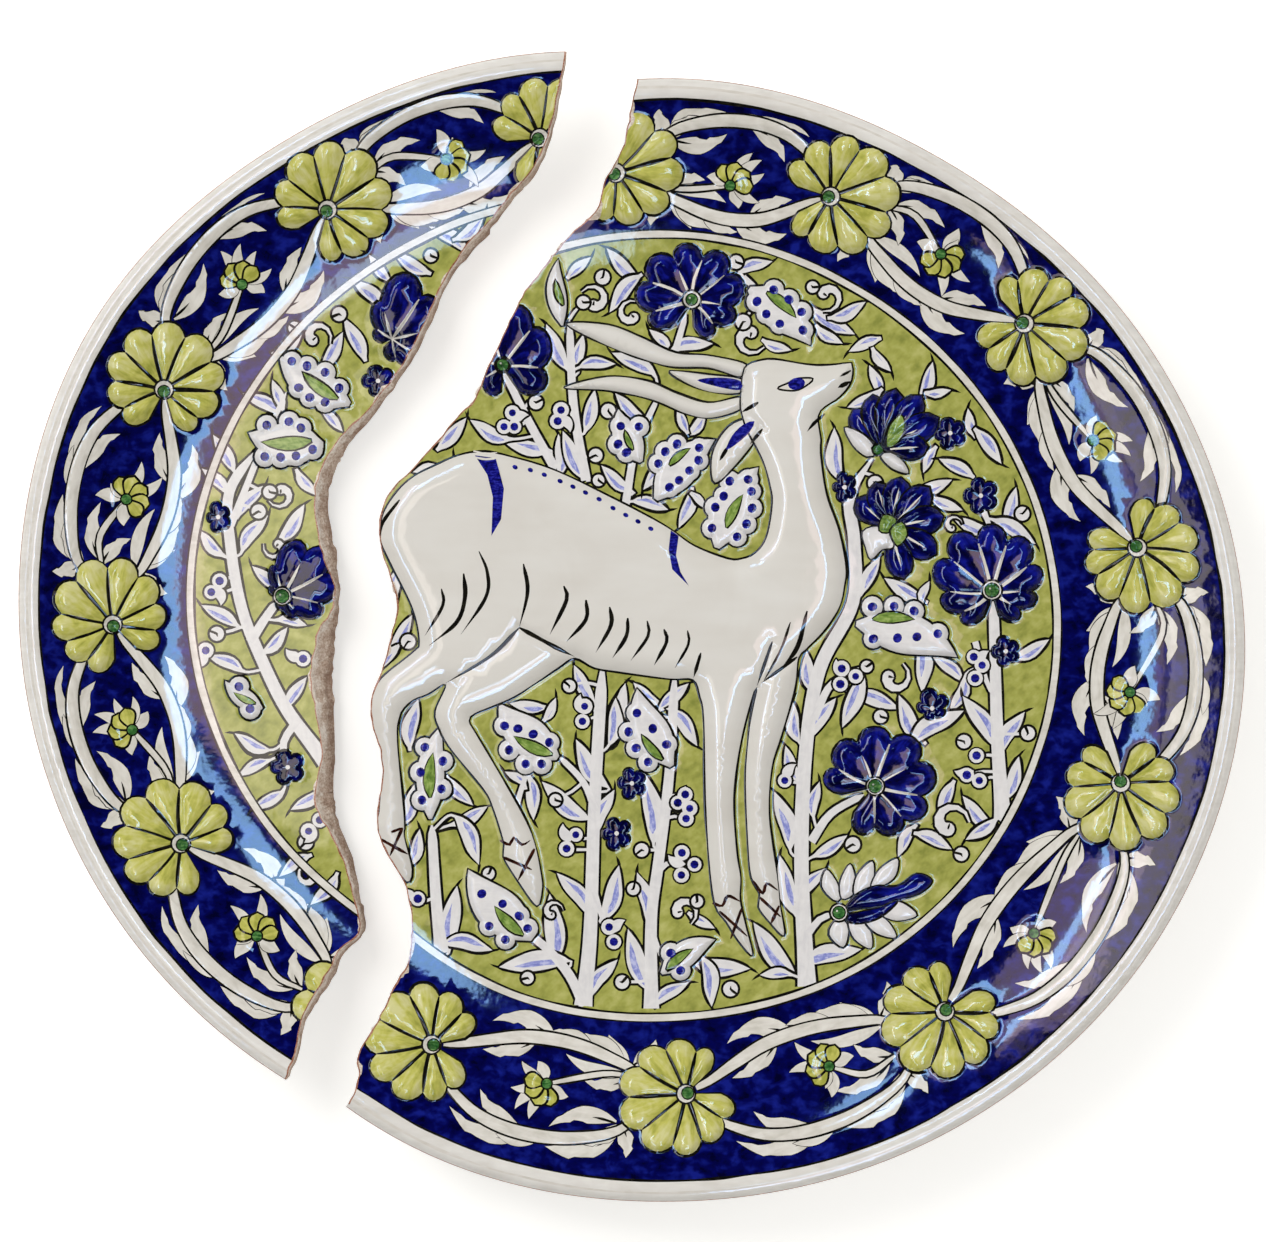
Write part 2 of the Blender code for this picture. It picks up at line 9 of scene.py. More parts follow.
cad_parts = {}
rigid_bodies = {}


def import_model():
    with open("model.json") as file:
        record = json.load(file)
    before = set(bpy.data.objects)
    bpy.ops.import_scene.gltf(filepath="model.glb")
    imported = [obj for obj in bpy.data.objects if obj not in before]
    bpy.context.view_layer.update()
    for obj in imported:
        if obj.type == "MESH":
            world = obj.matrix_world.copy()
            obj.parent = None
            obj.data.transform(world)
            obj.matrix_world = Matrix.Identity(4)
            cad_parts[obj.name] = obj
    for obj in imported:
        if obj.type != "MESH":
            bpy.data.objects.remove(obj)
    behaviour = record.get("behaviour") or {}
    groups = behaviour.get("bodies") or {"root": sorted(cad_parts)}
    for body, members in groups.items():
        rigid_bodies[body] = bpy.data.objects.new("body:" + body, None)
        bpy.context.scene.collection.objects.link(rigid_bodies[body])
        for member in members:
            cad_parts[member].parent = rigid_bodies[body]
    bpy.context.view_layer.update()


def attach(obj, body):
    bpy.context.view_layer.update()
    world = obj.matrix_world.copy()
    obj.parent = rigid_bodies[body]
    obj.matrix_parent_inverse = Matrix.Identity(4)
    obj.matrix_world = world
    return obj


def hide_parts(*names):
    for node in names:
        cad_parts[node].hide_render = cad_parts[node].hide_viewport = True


# A relief plate of glazed earthenware, broken in two. All drawing is in millimetres from the
# middle of its own plate, and becomes metres only when a mesh is made.
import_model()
chance = np.random.default_rng(14)

turned = {
    "radius": 200.0,
    "warpFrom": 110.0,      # the middle stayed round in the kiln
    "ground": 15.5,
    "thickness": 9.5,
    "rimInset": 0.25,       # the glazed face ends this far inside the rim
    "bandLine": 192.2,      # where the painted border begins under the lip
    "lipShade": (196.9, 196.1),    # the painted shade line round the lip, from and to
    "leafGap": 5.4,         # painted leaves bend back from this far inside the border line
    "leafEase": 4.2,        # and reach at most this much further
    "lipRings": (0.35, 1.0, 2.0, 3.2, 4.4, 5.6, 6.8, 9.0),    # rings of points in from the rim
    "backRings": (0.9, 1.8, 4, 7, 12, 18, 24, 30, 37, 44, 51, 55, 58.0, 59.6, 60.5, 61.0, 64.3, 67.6, 68.0,
                  68.4, 69.5),
    "foot": (135.6, 3.6),   # middle of the bare foot ring and half its width
    "faceGrid": 4.4,
    "backGrid": 9.0,
    # (in from the rim, over the ground)
    "face": [(0, 19.3), (0.35, 20.7), (1.1, 21.7), (2.4, 22.6), (4.4, 22.9), (6.2, 22.5), (7.7, 21.6),
             (9.2, 20.7), (18, 15.7), (31, 9.6), (46, 4.3), (54, 2.7), (63, 1.4), (75, 0.55), (90, 0.1),
             (100, 0), (200, 0)],
    # (in from the rim, over the table)
    "back": [(0, 34.8), (0.5, 33.4), (1.8, 32.2), (7, 28.6), (24, 20.0), (44, 10.4), (58.0, 6.9),
             (59.6, 6.2), (60.5, 0.25), (61.0, 0), (67.6, 0), (68.0, 0.3), (68.4, 5.8), (69.5, 6),
             (200, 6)],
}

largePlate = {
    "name": "large", "node": "large_fragment", "slot": "painted_glaze_large",
    "middle": (19.5, -5.3),
    # radius of the rim and of the ring line every 30 degrees
    "rim": [200.5, 197.1, 195.7, 202.0, 204.0, 203.0, 203.0, 206.0, 206.4, 200.8, 199.5, 200.3],
    "ring": [133.5, 136.2, 140.0, 146.3, 150.0, 151.0, 150.0, 147.0, 142.2, 134.9, 132.5, 132.2],
    "keeps": "right",    # the side of the break that survives
    # the break, top to bottom: (x, y, how far it runs out to the right under the face)
    "breakLine": [
        (-15.2, 212, 2), (-18, 199, 2), (-20, 190, 2.5), (-23.5, 176, 3), (-29.5, 164, 4), (-32, 155, 3),
        (-43, 145, 3), (-52, 134, 3), (-58, 126, 3), (-62, 118, 3), (-69, 103, 3), (-76, 88, 3.5),
        (-82.5, 80.5, 4), (-91.5, 70, 5), (-97.5, 63.5, 5), (-106, 55, 6), (-110, 45, 6), (-110, 35, 5),
        (-107.5, 27, 4), (-105, 17, 4), (-104.3, 9, 4), (-107.5, -2, 5), (-110, -11, 6), (-113, -20, 6),
        (-113, -28, 6), (-110, -39, 5), (-109.3, -49, 5), (-111, -60, 5), (-111, -69, 5),
        (-107.5, -77, 4), (-102, -86, 3.5), (-99.3, -97, 3), (-98.8, -107, 3), (-100, -115.5, 3),
        (-103.5, -121, 3), (-106.5, -127, 3), (-109.5, -133, 3), (-114.5, -142, 3), (-117.3, -147, 3),
        (-117.6, -151, 3), (-117, -155, 3), (-118.6, -160, 3), (-122, -167.5, 3), (-130, -187, 3)],
    # chips in the glaze along the break: (x, y, how deep, points of the edge to each side)
    "chips": [(-32, 154, 2.2, 4), (-26, 170, 1.2, 3), (-18.5, 188, 1.5, 5), (-98.5, -110, 1.6, 5),
              (-102, -119, 1.6, 3), (-89, 72.5, 1.2, 2), (-105.5, 18, 1.0, 4), (-107, -3, 1.1, 3),
              (-50, 136.5, 1.0, 2), (-117.5, -153, 1.4, 3)],
    # rosettes, clockwise: (degrees, radius) of the middle
    "rosettes": [(97.4, 171.5), (70.9, 169.3), (42.1, 168.0), (10.6, 166.8),
                 (-19.2, 165.5), (-56.2, 163.5), (-91.2, 163.8),
                 (-123.4, 172.5)],
    # small border flowers: (degrees, radius, up or down)
    "flowers": [(84.5, 164.5, "up"), (56.7, 166.5, "down"), (26.3, 163, "up"), (-6.5, 160.5, "down"),
                (-40, 163, "up"), (-71.4, 161, "down"), (-107.5, 166.5, "up")],
}

smallPlate = {
    "name": "small", "node": "small_fragment", "slot": "painted_glaze_small",
    "middle": (-20.3, 6.5),
    "rim": [199.0, 199.0, 199.0, 200.0, 197.6, 201.2, 199.7, 198.6, 198.4, 199.0, 199.0, 199.0],
    "ring": [140.0, 140.0, 140.0, 147.0, 142.8, 140.3, 138.6, 135.6, 134.2, 140.0, 140.0, 140.0],
    "keeps": "left",
    "breakLine": [
        (-2.3, 207, 0.4), (-3.6, 199.5, 0.4), (-4.6, 191, 0.5), (-8, 175, 0.8), (-13, 161, 1.1),
        (-23.5, 148.5, 1.4), (-32, 138, 1.5), (-40, 129, 1.4), (-48.5, 116, 1.4), (-54, 103, 1.3),
        (-61.5, 88.5, 1.5), (-73.5, 72.5, 2.3), (-86, 60, 3.8), (-92, 49, 4.6), (-93.5, 37, 4.4),
        (-92, 25, 4.5), (-89.4, 16, 3.3), (-86.9, 9.5, 1.3), (-86.7, 2, 1.4), (-88.6, -2.5, 3.2),
        (-92.3, -8, 6.2), (-95, -21, 7.5), (-94.3, -33, 7), (-92, -44, 5),
        (-91, -52, 4), (-92.6, -62, 5.5), (-93, -71, 6.5), (-88.4, -80, 3.4), (-84.1, -90, 2.9),
        (-80.2, -101, 2.1), (-77.9, -110, 0.9), (-77.6, -117, 0.9),
        (-84, -122.5, 1.9), (-88.5, -130, 1.9), (-92.5, -137, 1.7), (-96.5, -144, 1.5), (-98.4, -150, 1.4),
        (-100, -158, 1.1), (-104, -168.5, 0.9), (-111.5, -187, 0.9)],
    "chips": [(-22, 150, 1.4, 4), (-47, 118, 1.0, 3), (-70, 77, 1.5, 4), (-92.5, 45, 1.2, 4),
              (-86.8, 5, 0.8, 3), (-94.5, -26, 1.4, 4), (-92, -66, 1.2, 4), (-79, -114, 1.2, 3)],
    "rosettes": [(240.5, 165.0), (209.6, 166.2), (180.8, 167.6), (150.8, 168.7),
                 (120.7, 170.0), (93.2, 170.8)],
    "flowers": [(225.8, 164, "down"), (195.3, 165, "up"), (166.3, 166, "down"), (135.8, 167, "up"),
                (106, 168, "down")],
}


def smoothTable(points, step):
    # a curve through the points that never swings past them
    x, y = np.array(points, float).T
    rise = np.diff(y) / np.diff(x)
    slope = np.zeros(len(x))
    turns = rise[:-1] * rise[1:] > 0
    both = np.where(turns, rise[:-1] + rise[1:], 1.0)
    slope[1:-1] = np.where(turns, 2 * rise[:-1] * rise[1:] / both, 0.0)
    slope[0] = rise[0]
    fine = np.arange(x[0], x[-1] + step / 2, step)
    k = np.clip(np.searchsorted(x, fine, side="right") - 1, 0, len(x) - 2)
    width = x[k + 1] - x[k]
    t = (fine - x[k]) / width
    value = y[k] * (1 + 2 * t) * (1 - t) ** 2 + slope[k] * width * t * (1 - t) ** 2
    value += y[k + 1] * t * t * (3 - 2 * t) + slope[k + 1] * width * t * t * (t - 1)
    return fine, value


turned["faceCurve"] = smoothTable(turned["face"], 0.1)
turned["backCurve"] = smoothTable(turned["back"], 0.1)


def reach(table, angle):
    # smooth closed curve through radii given every 30 degrees
    place = np.degrees(angle) / 30.0
    step = np.floor(place).astype(int)
    t = place - step
    before, start, end, after = (np.take(table, step + k, mode="wrap") for k in (-1, 0, 1, 2))
    bend = (2 * before - 5 * start + 4 * end - after) * t ** 2
    twist = (3 * start - before - 3 * end + after) * t ** 3
    return start + ((end - before) * t + bend + twist) / 2


def warp(plate, radius, angle):
    # where a point of the wheel's circle went when the plate warped
    ease = np.clip((radius - turned["warpFrom"]) / (turned["radius"] - turned["warpFrom"]), 0, 1)
    out = reach(plate["rim"], angle) / turned["radius"] - 1
    return radius * (1 + out * ease * ease * (3 - 2 * ease))


def wheelRadius(plate, points):
    radius = np.hypot(points[:, 0], points[:, 1])
    angle = np.arctan2(points[:, 1], points[:, 0])
    return radius * radius / warp(plate, np.maximum(radius, 0.001), angle)


def polar(radius, degrees):
    angle = np.radians(degrees)
    return np.stack([radius * np.cos(angle), radius * np.sin(angle)], -1)


def through(points, step, closed=False):
    # a smooth curve through the given points, with a point about every step
    points = np.array(points, float)
    if closed:
        ends = np.vstack([points[-1:], points, points[:2]])
    else:
        ends = np.vstack([2 * points[:1] - points[1:2], points, 2 * points[-1:] - points[-2:-1]])
    path = []
    for a, b, c, d in zip(ends, ends[1:], ends[2:], ends[3:]):
        count = max(1, int(round(np.hypot(*(c - b)) / step)))
        t = (np.arange(count) / count)[:, None]
        path.append(b + ((c - a) * t + (2 * a - 5 * b + 4 * c - d) * t * t
                         + (3 * b - a - 3 * c + d) * t ** 3) / 2)
    if not closed:
        path.append(points[-1:])
    return np.vstack(path)


def sideways(path, closed=False):
    # unit vectors to the left of a path
    if closed:
        along = np.roll(path, -1, 0) - np.roll(path, 1, 0)
    else:
        along = np.gradient(path, axis=0)
    along = along / np.maximum(np.linalg.norm(along, axis=1), 1e-9)[:, None]
    return np.stack([-along[:, 1], along[:, 0]], 1)


def hand(count, size, grain=5):
    # the small unevenness of a brushed line, the same each run
    knots = chance.normal(0, size, max(4, count // grain + 3))
    place = np.linspace(0, len(knots) - 1.001, count)
    k = place.astype(int)
    return knots[k] + (knots[k + 1] - knots[k]) * (place - k)


def grow(outline, by, uneven=0.0):
    # an outline moved outwards, or inwards with a minus
    area = np.sum(outline[:, 0] * np.roll(outline[:, 1], -1) - outline[:, 1] * np.roll(outline[:, 0], -1))
    out = -sideways(outline, True) * np.sign(area)
    wobble = hand(len(outline), uneven) if uneven else np.zeros(len(outline))
    return outline + out * (by + wobble)[:, None]


def ribbon(path, widths):
    side = sideways(path) * (np.asarray(widths) / 2)[:, None]
    return np.vstack([path + side, (path - side)[::-1]])


def heading(turn):
    # the unit vector at an angle
    return np.array([math.cos(turn), math.sin(turn)])


def bearing(start, end):
    # the angle from one point to another
    return math.atan2(*(np.asarray(end) - start)[::-1])


def leftOf(run):
    return np.array([-run[1], run[0]])


def circle(middle, radius, count):
    turn = np.arange(count) * 2 * math.pi / count
    return np.array(middle) + np.stack([np.cos(turn), np.sin(turn)], 1) * radius


def segments(path, closed=False):
    ends = np.roll(path, -1, 0) if closed else path[1:]
    return (path if closed else path[:-1]), ends


def distanceTo(points, starts, ends):
    # how far each point is from the nearest segment, and the unit vector away from it
    best = np.empty(len(points))
    away = np.empty((len(points), 2))
    startX, startY = starts.T
    runX, runY = (ends - starts).T
    length = np.maximum(runX ** 2 + runY ** 2, 1e-12)
    for low in range(0, len(points), 500):
        gapX = points[low:low + 500, 0, None] - startX
        gapY = points[low:low + 500, 1, None] - startY
        t = np.clip((gapX * runX + gapY * runY) / length, 0, 1)
        gapX -= runX * t
        gapY -= runY * t
        square = gapX * gapX + gapY * gapY
        row, k = np.arange(len(square)), square.argmin(1)
        gap = np.sqrt(square[row, k])
        best[low:low + 500] = gap
        away[low:low + 500] = np.stack([gapX[row, k], gapY[row, k]], 1) / np.maximum(gap, 1e-6)[:, None]
    return best, away


def inside(points, outline):
    # by winding number, so that an outline may cross itself
    x0, y0 = outline.T
    x1, y1 = np.roll(outline, -1, 0).T
    lean = (x1 - x0) / np.where(y1 == y0, 1e-12, y1 - y0)
    turn = np.where(y1 > y0, 1.0, -1.0)
    found = np.empty(len(points), bool)
    order = np.argsort(points[:, 1])
    for low in range(0, len(points), 400):
        chosen = order[low:low + 400]
        x, y = points[chosen, 0, None], points[chosen, 1, None]
        # only the edges level with these points
        k = (np.maximum(y0, y1) >= y[0]) & (np.minimum(y0, y1) <= y[-1])
        crosses = ((y0[k] > y) != (y1[k] > y)) & (x < lean[k] * (y - y0[k]) + x0[k])
        found[chosen] = crosses @ turn[k] != 0
    return found


def fill(canvas, paint, outline, origin=(0.0, 0.0), turn=0.0):
    # a field of one glaze; origin and turn give its brush strokes their direction
    canvas["shapes"].append({"paint": paint, "outline": np.asarray(outline, float), "origin": origin,
                             "turn": turn, "tone": chance.random()})


def inked(canvas, paint, outline, line, uneven, inset, origin=(0.0, 0.0), turn=0.0):
    # the same with its ink line, which reaches this far outside and inside the edge
    fill(canvas, "ink", grow(outline, line, uneven))
    fill(canvas, paint, grow(outline, -inset), origin, turn)


def inkedDisc(canvas, paint, middle, radius, line, count, origin=(0.0, 0.0)):
    fill(canvas, "ink", circle(middle, radius + line, count))
    fill(canvas, paint, circle(middle, radius, count), origin)


def stroke(canvas, paint, points, width, start=0.3, end=0.0, step=1.6):
    # a brush line that swells from its start and thins to its end, which are shares of its width
    path = through(points, step)
    t = np.linspace(0, 1, len(path))
    body = np.clip(np.minimum(start + t * 5, end + (1 - t) * 3), 0.04, 1)
    edge = ribbon(path, width * body * (1 + hand(len(path), 0.12)))
    fill(canvas, paint, edge, path[0], bearing(path[0], path[-1]))


# how far inside its edge a relief has rings of points, in mm, as far as its shoulder goes
reliefRings = (-1.7, 0.35, 0.9, 1.7, 2.8, 4.2, 6.0, 8.0)


def raiseUp(canvas, outline, lift, shoulder, crown=0.0, grooves=(), grooveDepth=0.0, grooveWidth=1.0):
    # a relief that rises this high within its shoulder, then swells by its crown
    starts, ends = segments(outline, True)
    cut = [segments(np.asarray(g, float)) for g in grooves]
    canvas["reliefs"].append({
        "outline": outline, "starts": starts, "ends": ends, "lift": lift, "shoulder": shoulder,
        "crown": crown, "low": outline.min(0), "high": outline.max(0),
        "grooveStarts": np.vstack([c[0] for c in cut]) if cut else None,
        "grooveEnds": np.vstack([c[1] for c in cut]) if cut else None,
        "grooveDepth": grooveDepth, "grooveWidth": grooveWidth})
    for inset in reliefRings:
        if inset < shoulder * 1.4:
            ring = grow(outline, -inset)
            kept = inside(ring, outline) if inset > 0 else slice(None)
            canvas["spots"].append(ring[kept][:: 1 if abs(inset) < 2 else 2])


# the glaze fills the corner at the foot of every relief: how high and how wide, in mm
pooled = {"height": 0.3, "width": 2.0}
swell = 2.2    # how round the shoulders are


def reliefHeight(canvas, points):
    # height of the reliefs and its slope in x and y
    height = np.zeros(len(points))
    slope = np.zeros((len(points), 2))
    for relief in canvas["reliefs"]:
        low, high = relief["low"] - pooled["width"], relief["high"] + pooled["width"]
        near = np.flatnonzero(((points >= low) & (points <= high)).all(1))
        if not len(near):
            continue
        here = points[near]
        depth, away = distanceTo(here, relief["starts"], relief["ends"])
        within = inside(here, relief["outline"])
        t = np.clip(depth / relief["shoulder"], 0, 1)
        softness = np.exp(-depth / (swell * relief["shoulder"]))
        rise = relief["lift"] * (1 - (1 - t) ** swell) + relief["crown"] * (1 - softness)
        steep = relief["lift"] * swell * (1 - t) ** (swell - 1) / relief["shoulder"]
        steep += relief["crown"] * softness / (swell * relief["shoulder"])
        lean = away * steep[:, None]
        if relief["grooveStarts"] is not None:
            gap, aside = distanceTo(here, relief["grooveStarts"], relief["grooveEnds"])
            wide = relief["grooveWidth"]
            dip = relief["grooveDepth"] * np.exp(-(gap / wide) ** 2)
            lean = lean * (1 - dip)[:, None] + aside * (rise * dip * 2 * gap / wide ** 2)[:, None]
            rise = rise * (1 - dip)
        out = np.clip(1 - depth / pooled["width"], 0, 1)
        foot = pooled["height"] * min(1.0, relief["lift"])
        rise = np.where(within, rise + foot, foot * out ** 2)
        edge = -away * (2 * foot * out / pooled["width"])[:, None]
        lean = np.where(within[:, None], lean, edge)
        better = rise > height[near]
        height[near[better]] = rise[better]
        slope[near[better]] = lean[better]
    return height, slope


def plainHeight(plate, points):
    inset = turned["radius"] - np.minimum(wheelRadius(plate, points), turned["radius"])
    return turned["ground"] + np.interp(inset, *turned["faceCurve"])


def backHeight(plate, points):
    inset = turned["radius"] - np.minimum(wheelRadius(plate, points), turned["radius"])
    return np.interp(inset, *turned["backCurve"])


rosette = {
    "radius": 20.6, "petals": 9, "notch": 0.17, "lift": 3.0, "shoulder": 4.4, "crown": 0.5,
    "grooveDepth": 0.42, "grooveWidth": 1.5, "lineWidth": 1.3, "hub": 3.1, "eye": 2.0, "outline": 0.8,
    "gapAt": 113, "gap": 44,    # degrees from outwards to the gap for the stem, and its width
    "offset": 3.6,              # how far the hub is off centre, towards the gap
}


def oval(middle, length, width, turn, count):
    angle = np.arange(count) * 2 * math.pi / count
    x = np.cos(angle) * length / 2
    y = np.sin(angle) * width / 2
    c, s = math.cos(turn), math.sin(turn)
    return np.stack([middle[0] + x * c - y * s, middle[1] + x * s + y * c], 1)


def petalled(canvas, middle, hub, length, width, gapAt, petals, paint, look):
    # a domed flower: petals fanned round the hub, with a gap where the stem comes in
    middle, hub = np.array(middle, float), np.array(hub, float)
    half = np.array([length, width]) / 2
    start = (hub - middle) / half
    phase = np.linspace(0, 1, 9)    # the points of each petal, from one side to the other
    gap = math.radians(look["gap"])
    swing = (2 * math.pi - gap) / petals
    rays = gapAt + gap / 2 + swing * np.arange(petals + 1)
    rays[1:-1] += chance.uniform(-0.08, 0.08, petals - 1) * swing
    arcs = []
    for k in range(petals):
        turn = rays[k] + (rays[k + 1] - rays[k]) * phase
        way = np.stack([np.cos(turn), np.sin(turn)], 1) / half
        # how far it is from the hub to the oval along each ray
        a, b, c = (way ** 2).sum(1), (way * start).sum(1), (start ** 2).sum() - 1
        far = (np.sqrt(b * b - a * c) - b) / a
        dip = look["notch"] * (1 - np.sin(math.pi * phase)) ** 1.35
        if gap:    # the petals beside the gap are cut back towards it
            ends = (k == 0) * (1 - phase) + (k == petals - 1) * phase
            dip = dip + 0.3 * np.clip(ends - 0.45, 0, 1) ** 1.5
        way = way * half
        arcs.append(hub + way * (far * (1 - dip))[:, None])
    edge = np.vstack([arc[:-1] for arc in arcs] + ([arcs[-1][-1:], hub[None]] if gap else []))
    fill(canvas, "ink", grow(edge, look["outline"], 0.2))
    for arc, ray in zip(arcs, rays):
        fill(canvas, paint, np.vstack([hub[None], arc]), hub, ray + swing / 2)
    notches = [arc[0] for arc in arcs] + ([arcs[-1][-1]] if gap else [])
    grooves = notches[1:-1] if gap else notches
    raiseUp(canvas, edge, look["lift"], look["shoulder"], look["crown"],
            [np.array([hub, n]) for n in grooves], look["grooveDepth"], look["grooveWidth"])
    for notch in grooves:    # rows of points along each groove, to carry its section
        reachOut = np.arange(2.5, np.hypot(*(notch - hub)), 2.2)
        away = (notch - hub) / np.hypot(*(notch - hub))
        for shift in (-1.9, -1.0, 1.0, 1.9):
            aside = leftOf(away) * shift * look["grooveWidth"] / 1.5
            canvas["spots"].append(hub + np.outer(reachOut, away) + aside)
    return hub, grooves


def drawHub(canvas, hub, outer, eye):
    inkedDisc(canvas, "slip", hub, outer, 0.8, 16)
    inkedDisc(canvas, "copperGreen", hub, eye, 0.45, 12, hub)
    fill(canvas, "slip", circle(np.array(hub) + (-0.7, 0.6), 0.4, 6))    # a painted glint: a fleck of slip on the eye as its highlight


def drawRosette(canvas, spec):
    angle, radius = spec
    gapAt = math.radians(angle + rosette["gapAt"])
    middle = polar(radius, angle)
    across = 2 * rosette["radius"]
    length, width = across * chance.uniform(0.97, 1.03), across * chance.uniform(0.97, 1.03)
    hub = middle + rosette["offset"] * heading(gapAt)
    hub, notches = petalled(canvas, middle, hub, length, width, gapAt, rosette["petals"], "limePetal",
                            rosette)
    for notch in notches:
        stroke(canvas, "ink", [hub, hub + (notch - hub) * 0.5 + chance.normal(0, 0.35, 2), notch],
               rosette["lineWidth"] * chance.uniform(0.75, 1.15), 0.6, 0.4, 3.0)
    inkedDisc(canvas, "slip", hub, rosette["hub"], 0.7, 16)
    inkedDisc(canvas, "copperGreen", hub + 0.7 * heading(gapAt), rosette["eye"], 0.45, 12, hub)


def slitOutline(base, tip):
    # a narrow leaf shape, slightly bent
    base, tip = np.array(base, float), np.array(tip, float)
    run = tip - base
    width = np.hypot(*run) * 0.27
    t = np.linspace(0, 1, 7)
    line = base + np.outer(t, run) + np.outer(4 * t * (1 - t) * 0.05, leftOf(run))
    half = np.sin(math.pi * t ** 0.8) ** 0.85 * width / 2
    half[0] = width * 0.08
    side = sideways(line) * half[:, None]
    return np.vstack([line + side, (line - side)[-2::-1]])


def blade(base, tip, width, bend, teeth=0):
    # a flame-shaped leaf whose far half may be torn into points
    base, tip = np.array(base, float), np.array(tip, float)
    run = tip - base
    t = np.linspace(0, 1, 15)
    hook = np.sign(bend if bend else 1) * 0.35 * np.clip(t - 0.5, 0, 1) ** 2
    line = base + np.outer(t, run) + np.outer(4 * t * (1 - t) * bend - hook, leftOf(run))
    half = width / 2 * np.sin(math.pi * t ** 0.86) ** 0.9
    half[0] = width * 0.07
    sides = []
    for phase in (0.0, 0.5):
        torn = 1 - 0.4 * ((t * teeth + phase) % 1.0) * (t > 0.45) * (t < 0.95) if teeth else 1.0
        sides.append((half * torn)[:, None])
    side = sideways(line)
    return np.vstack([line + side * sides[0], (line - side * sides[1])[-2::-1]]), line


def pressIn(plate, points):
    # keeps painted leaves off the lip, easing back the ones that reach for it
    radius = np.hypot(points[:, 0], points[:, 1])
    edge = warp(plate, turned["bandLine"], np.arctan2(points[:, 1], points[:, 0])) - turned["leafGap"]
    over = np.maximum(radius - edge, 0)
    ease = turned["leafEase"]
    eased = edge + ease * (1 - np.exp(-over / ease))
    return points * (np.where(over > 0, eased, radius) / radius)[:, None]


def borderLeaf(canvas, base, tip, width, bend, vein):
    # a white leaf on the cobalt; one with a vein is torn into points as well
    outline, line = blade(base, tip, width, bend, 3 if vein else 0)
    outline, line = pressIn(canvas["plate"], outline), pressIn(canvas["plate"], line)
    inked(canvas, "slip", outline, 0.22, 0.08, 0.0, base, bearing(base, tip))
    if vein:
        stroke(canvas, "ink", line[:6] + sideways(line)[:6] * width * 0.1, 0.8, 0.7, 0.0, 2.6)


def petalOutline(hub, angle, length, width, count=9):
    # a round-ended petal that starts narrow at the hub
    t = np.linspace(0, 1, count)
    half = width / 2 * np.sin(math.pi * np.clip(t, 0, 1) ** 1.6) ** 0.62
    half[0] = 0.3
    along = t * length
    c, s = math.cos(angle), math.sin(angle)
    left = np.stack([along * c - half * s, along * s + half * c], 1)
    right = np.stack([along * c + half * s, along * s - half * c], 1)
    return np.array(hub) + np.vstack([left, right[-2::-1]])


borderFlower = {
    "mound": 5.6, "eyeLine": 2.3, "eye": 1.75,    # radii
    # (degrees clockwise from outwards, length, width) of the lime petals and the white leaves
    "up": {
        "petals": [(-28, 8.3, 6.2), (12, 8.8, 6.4), (50, 8.6, 6.2), (86, 8.4, 6)],
        "leaves": [(20, 14, 4.2), (42, 14.5, 4), (66, 13, 3.6), (-66, 9, 4.6), (148, 8.6, 4.8),
                   (112, 12, 3.4)]},
    "down": {
        "petals": [(58, 8.6, 6.2), (96, 8.8, 6.2), (136, 8.6, 6.2), (178, 8.6, 6.2), (-146, 8, 5.6)],
        "leaves": [(6, 11, 5), (-94, 9.6, 5), (104, 14.5, 3.8), (142, 15, 4), (28, 8, 3)]},
}


def drawBorderFlower(canvas, spec):
    angle, radius, facing = spec
    hub = polar(radius, angle)
    look = borderFlower[facing]
    outwards = math.radians(angle)
    for lean, length, width in look["leaves"]:
        turn = outwards - math.radians(lean) + chance.normal(0, 0.06)
        tip = hub + length * heading(turn)
        borderLeaf(canvas, hub + (tip - hub) * 0.12, tip, width, chance.uniform(-0.06, 0.06), False)
    for lean, length, width in look["petals"]:
        turn = outwards - math.radians(lean)
        inked(canvas, "limePetal", petalOutline(hub, turn, length, width), 0.4, 0.12, 0.4, hub, turn)
    raiseUp(canvas, circle(hub, borderFlower["mound"], 14), 0.5, 3.5)
    fill(canvas, "ink", circle(hub, borderFlower["eyeLine"], 12))
    fill(canvas, "copperGreen", circle(hub, borderFlower["eye"], 10), hub)


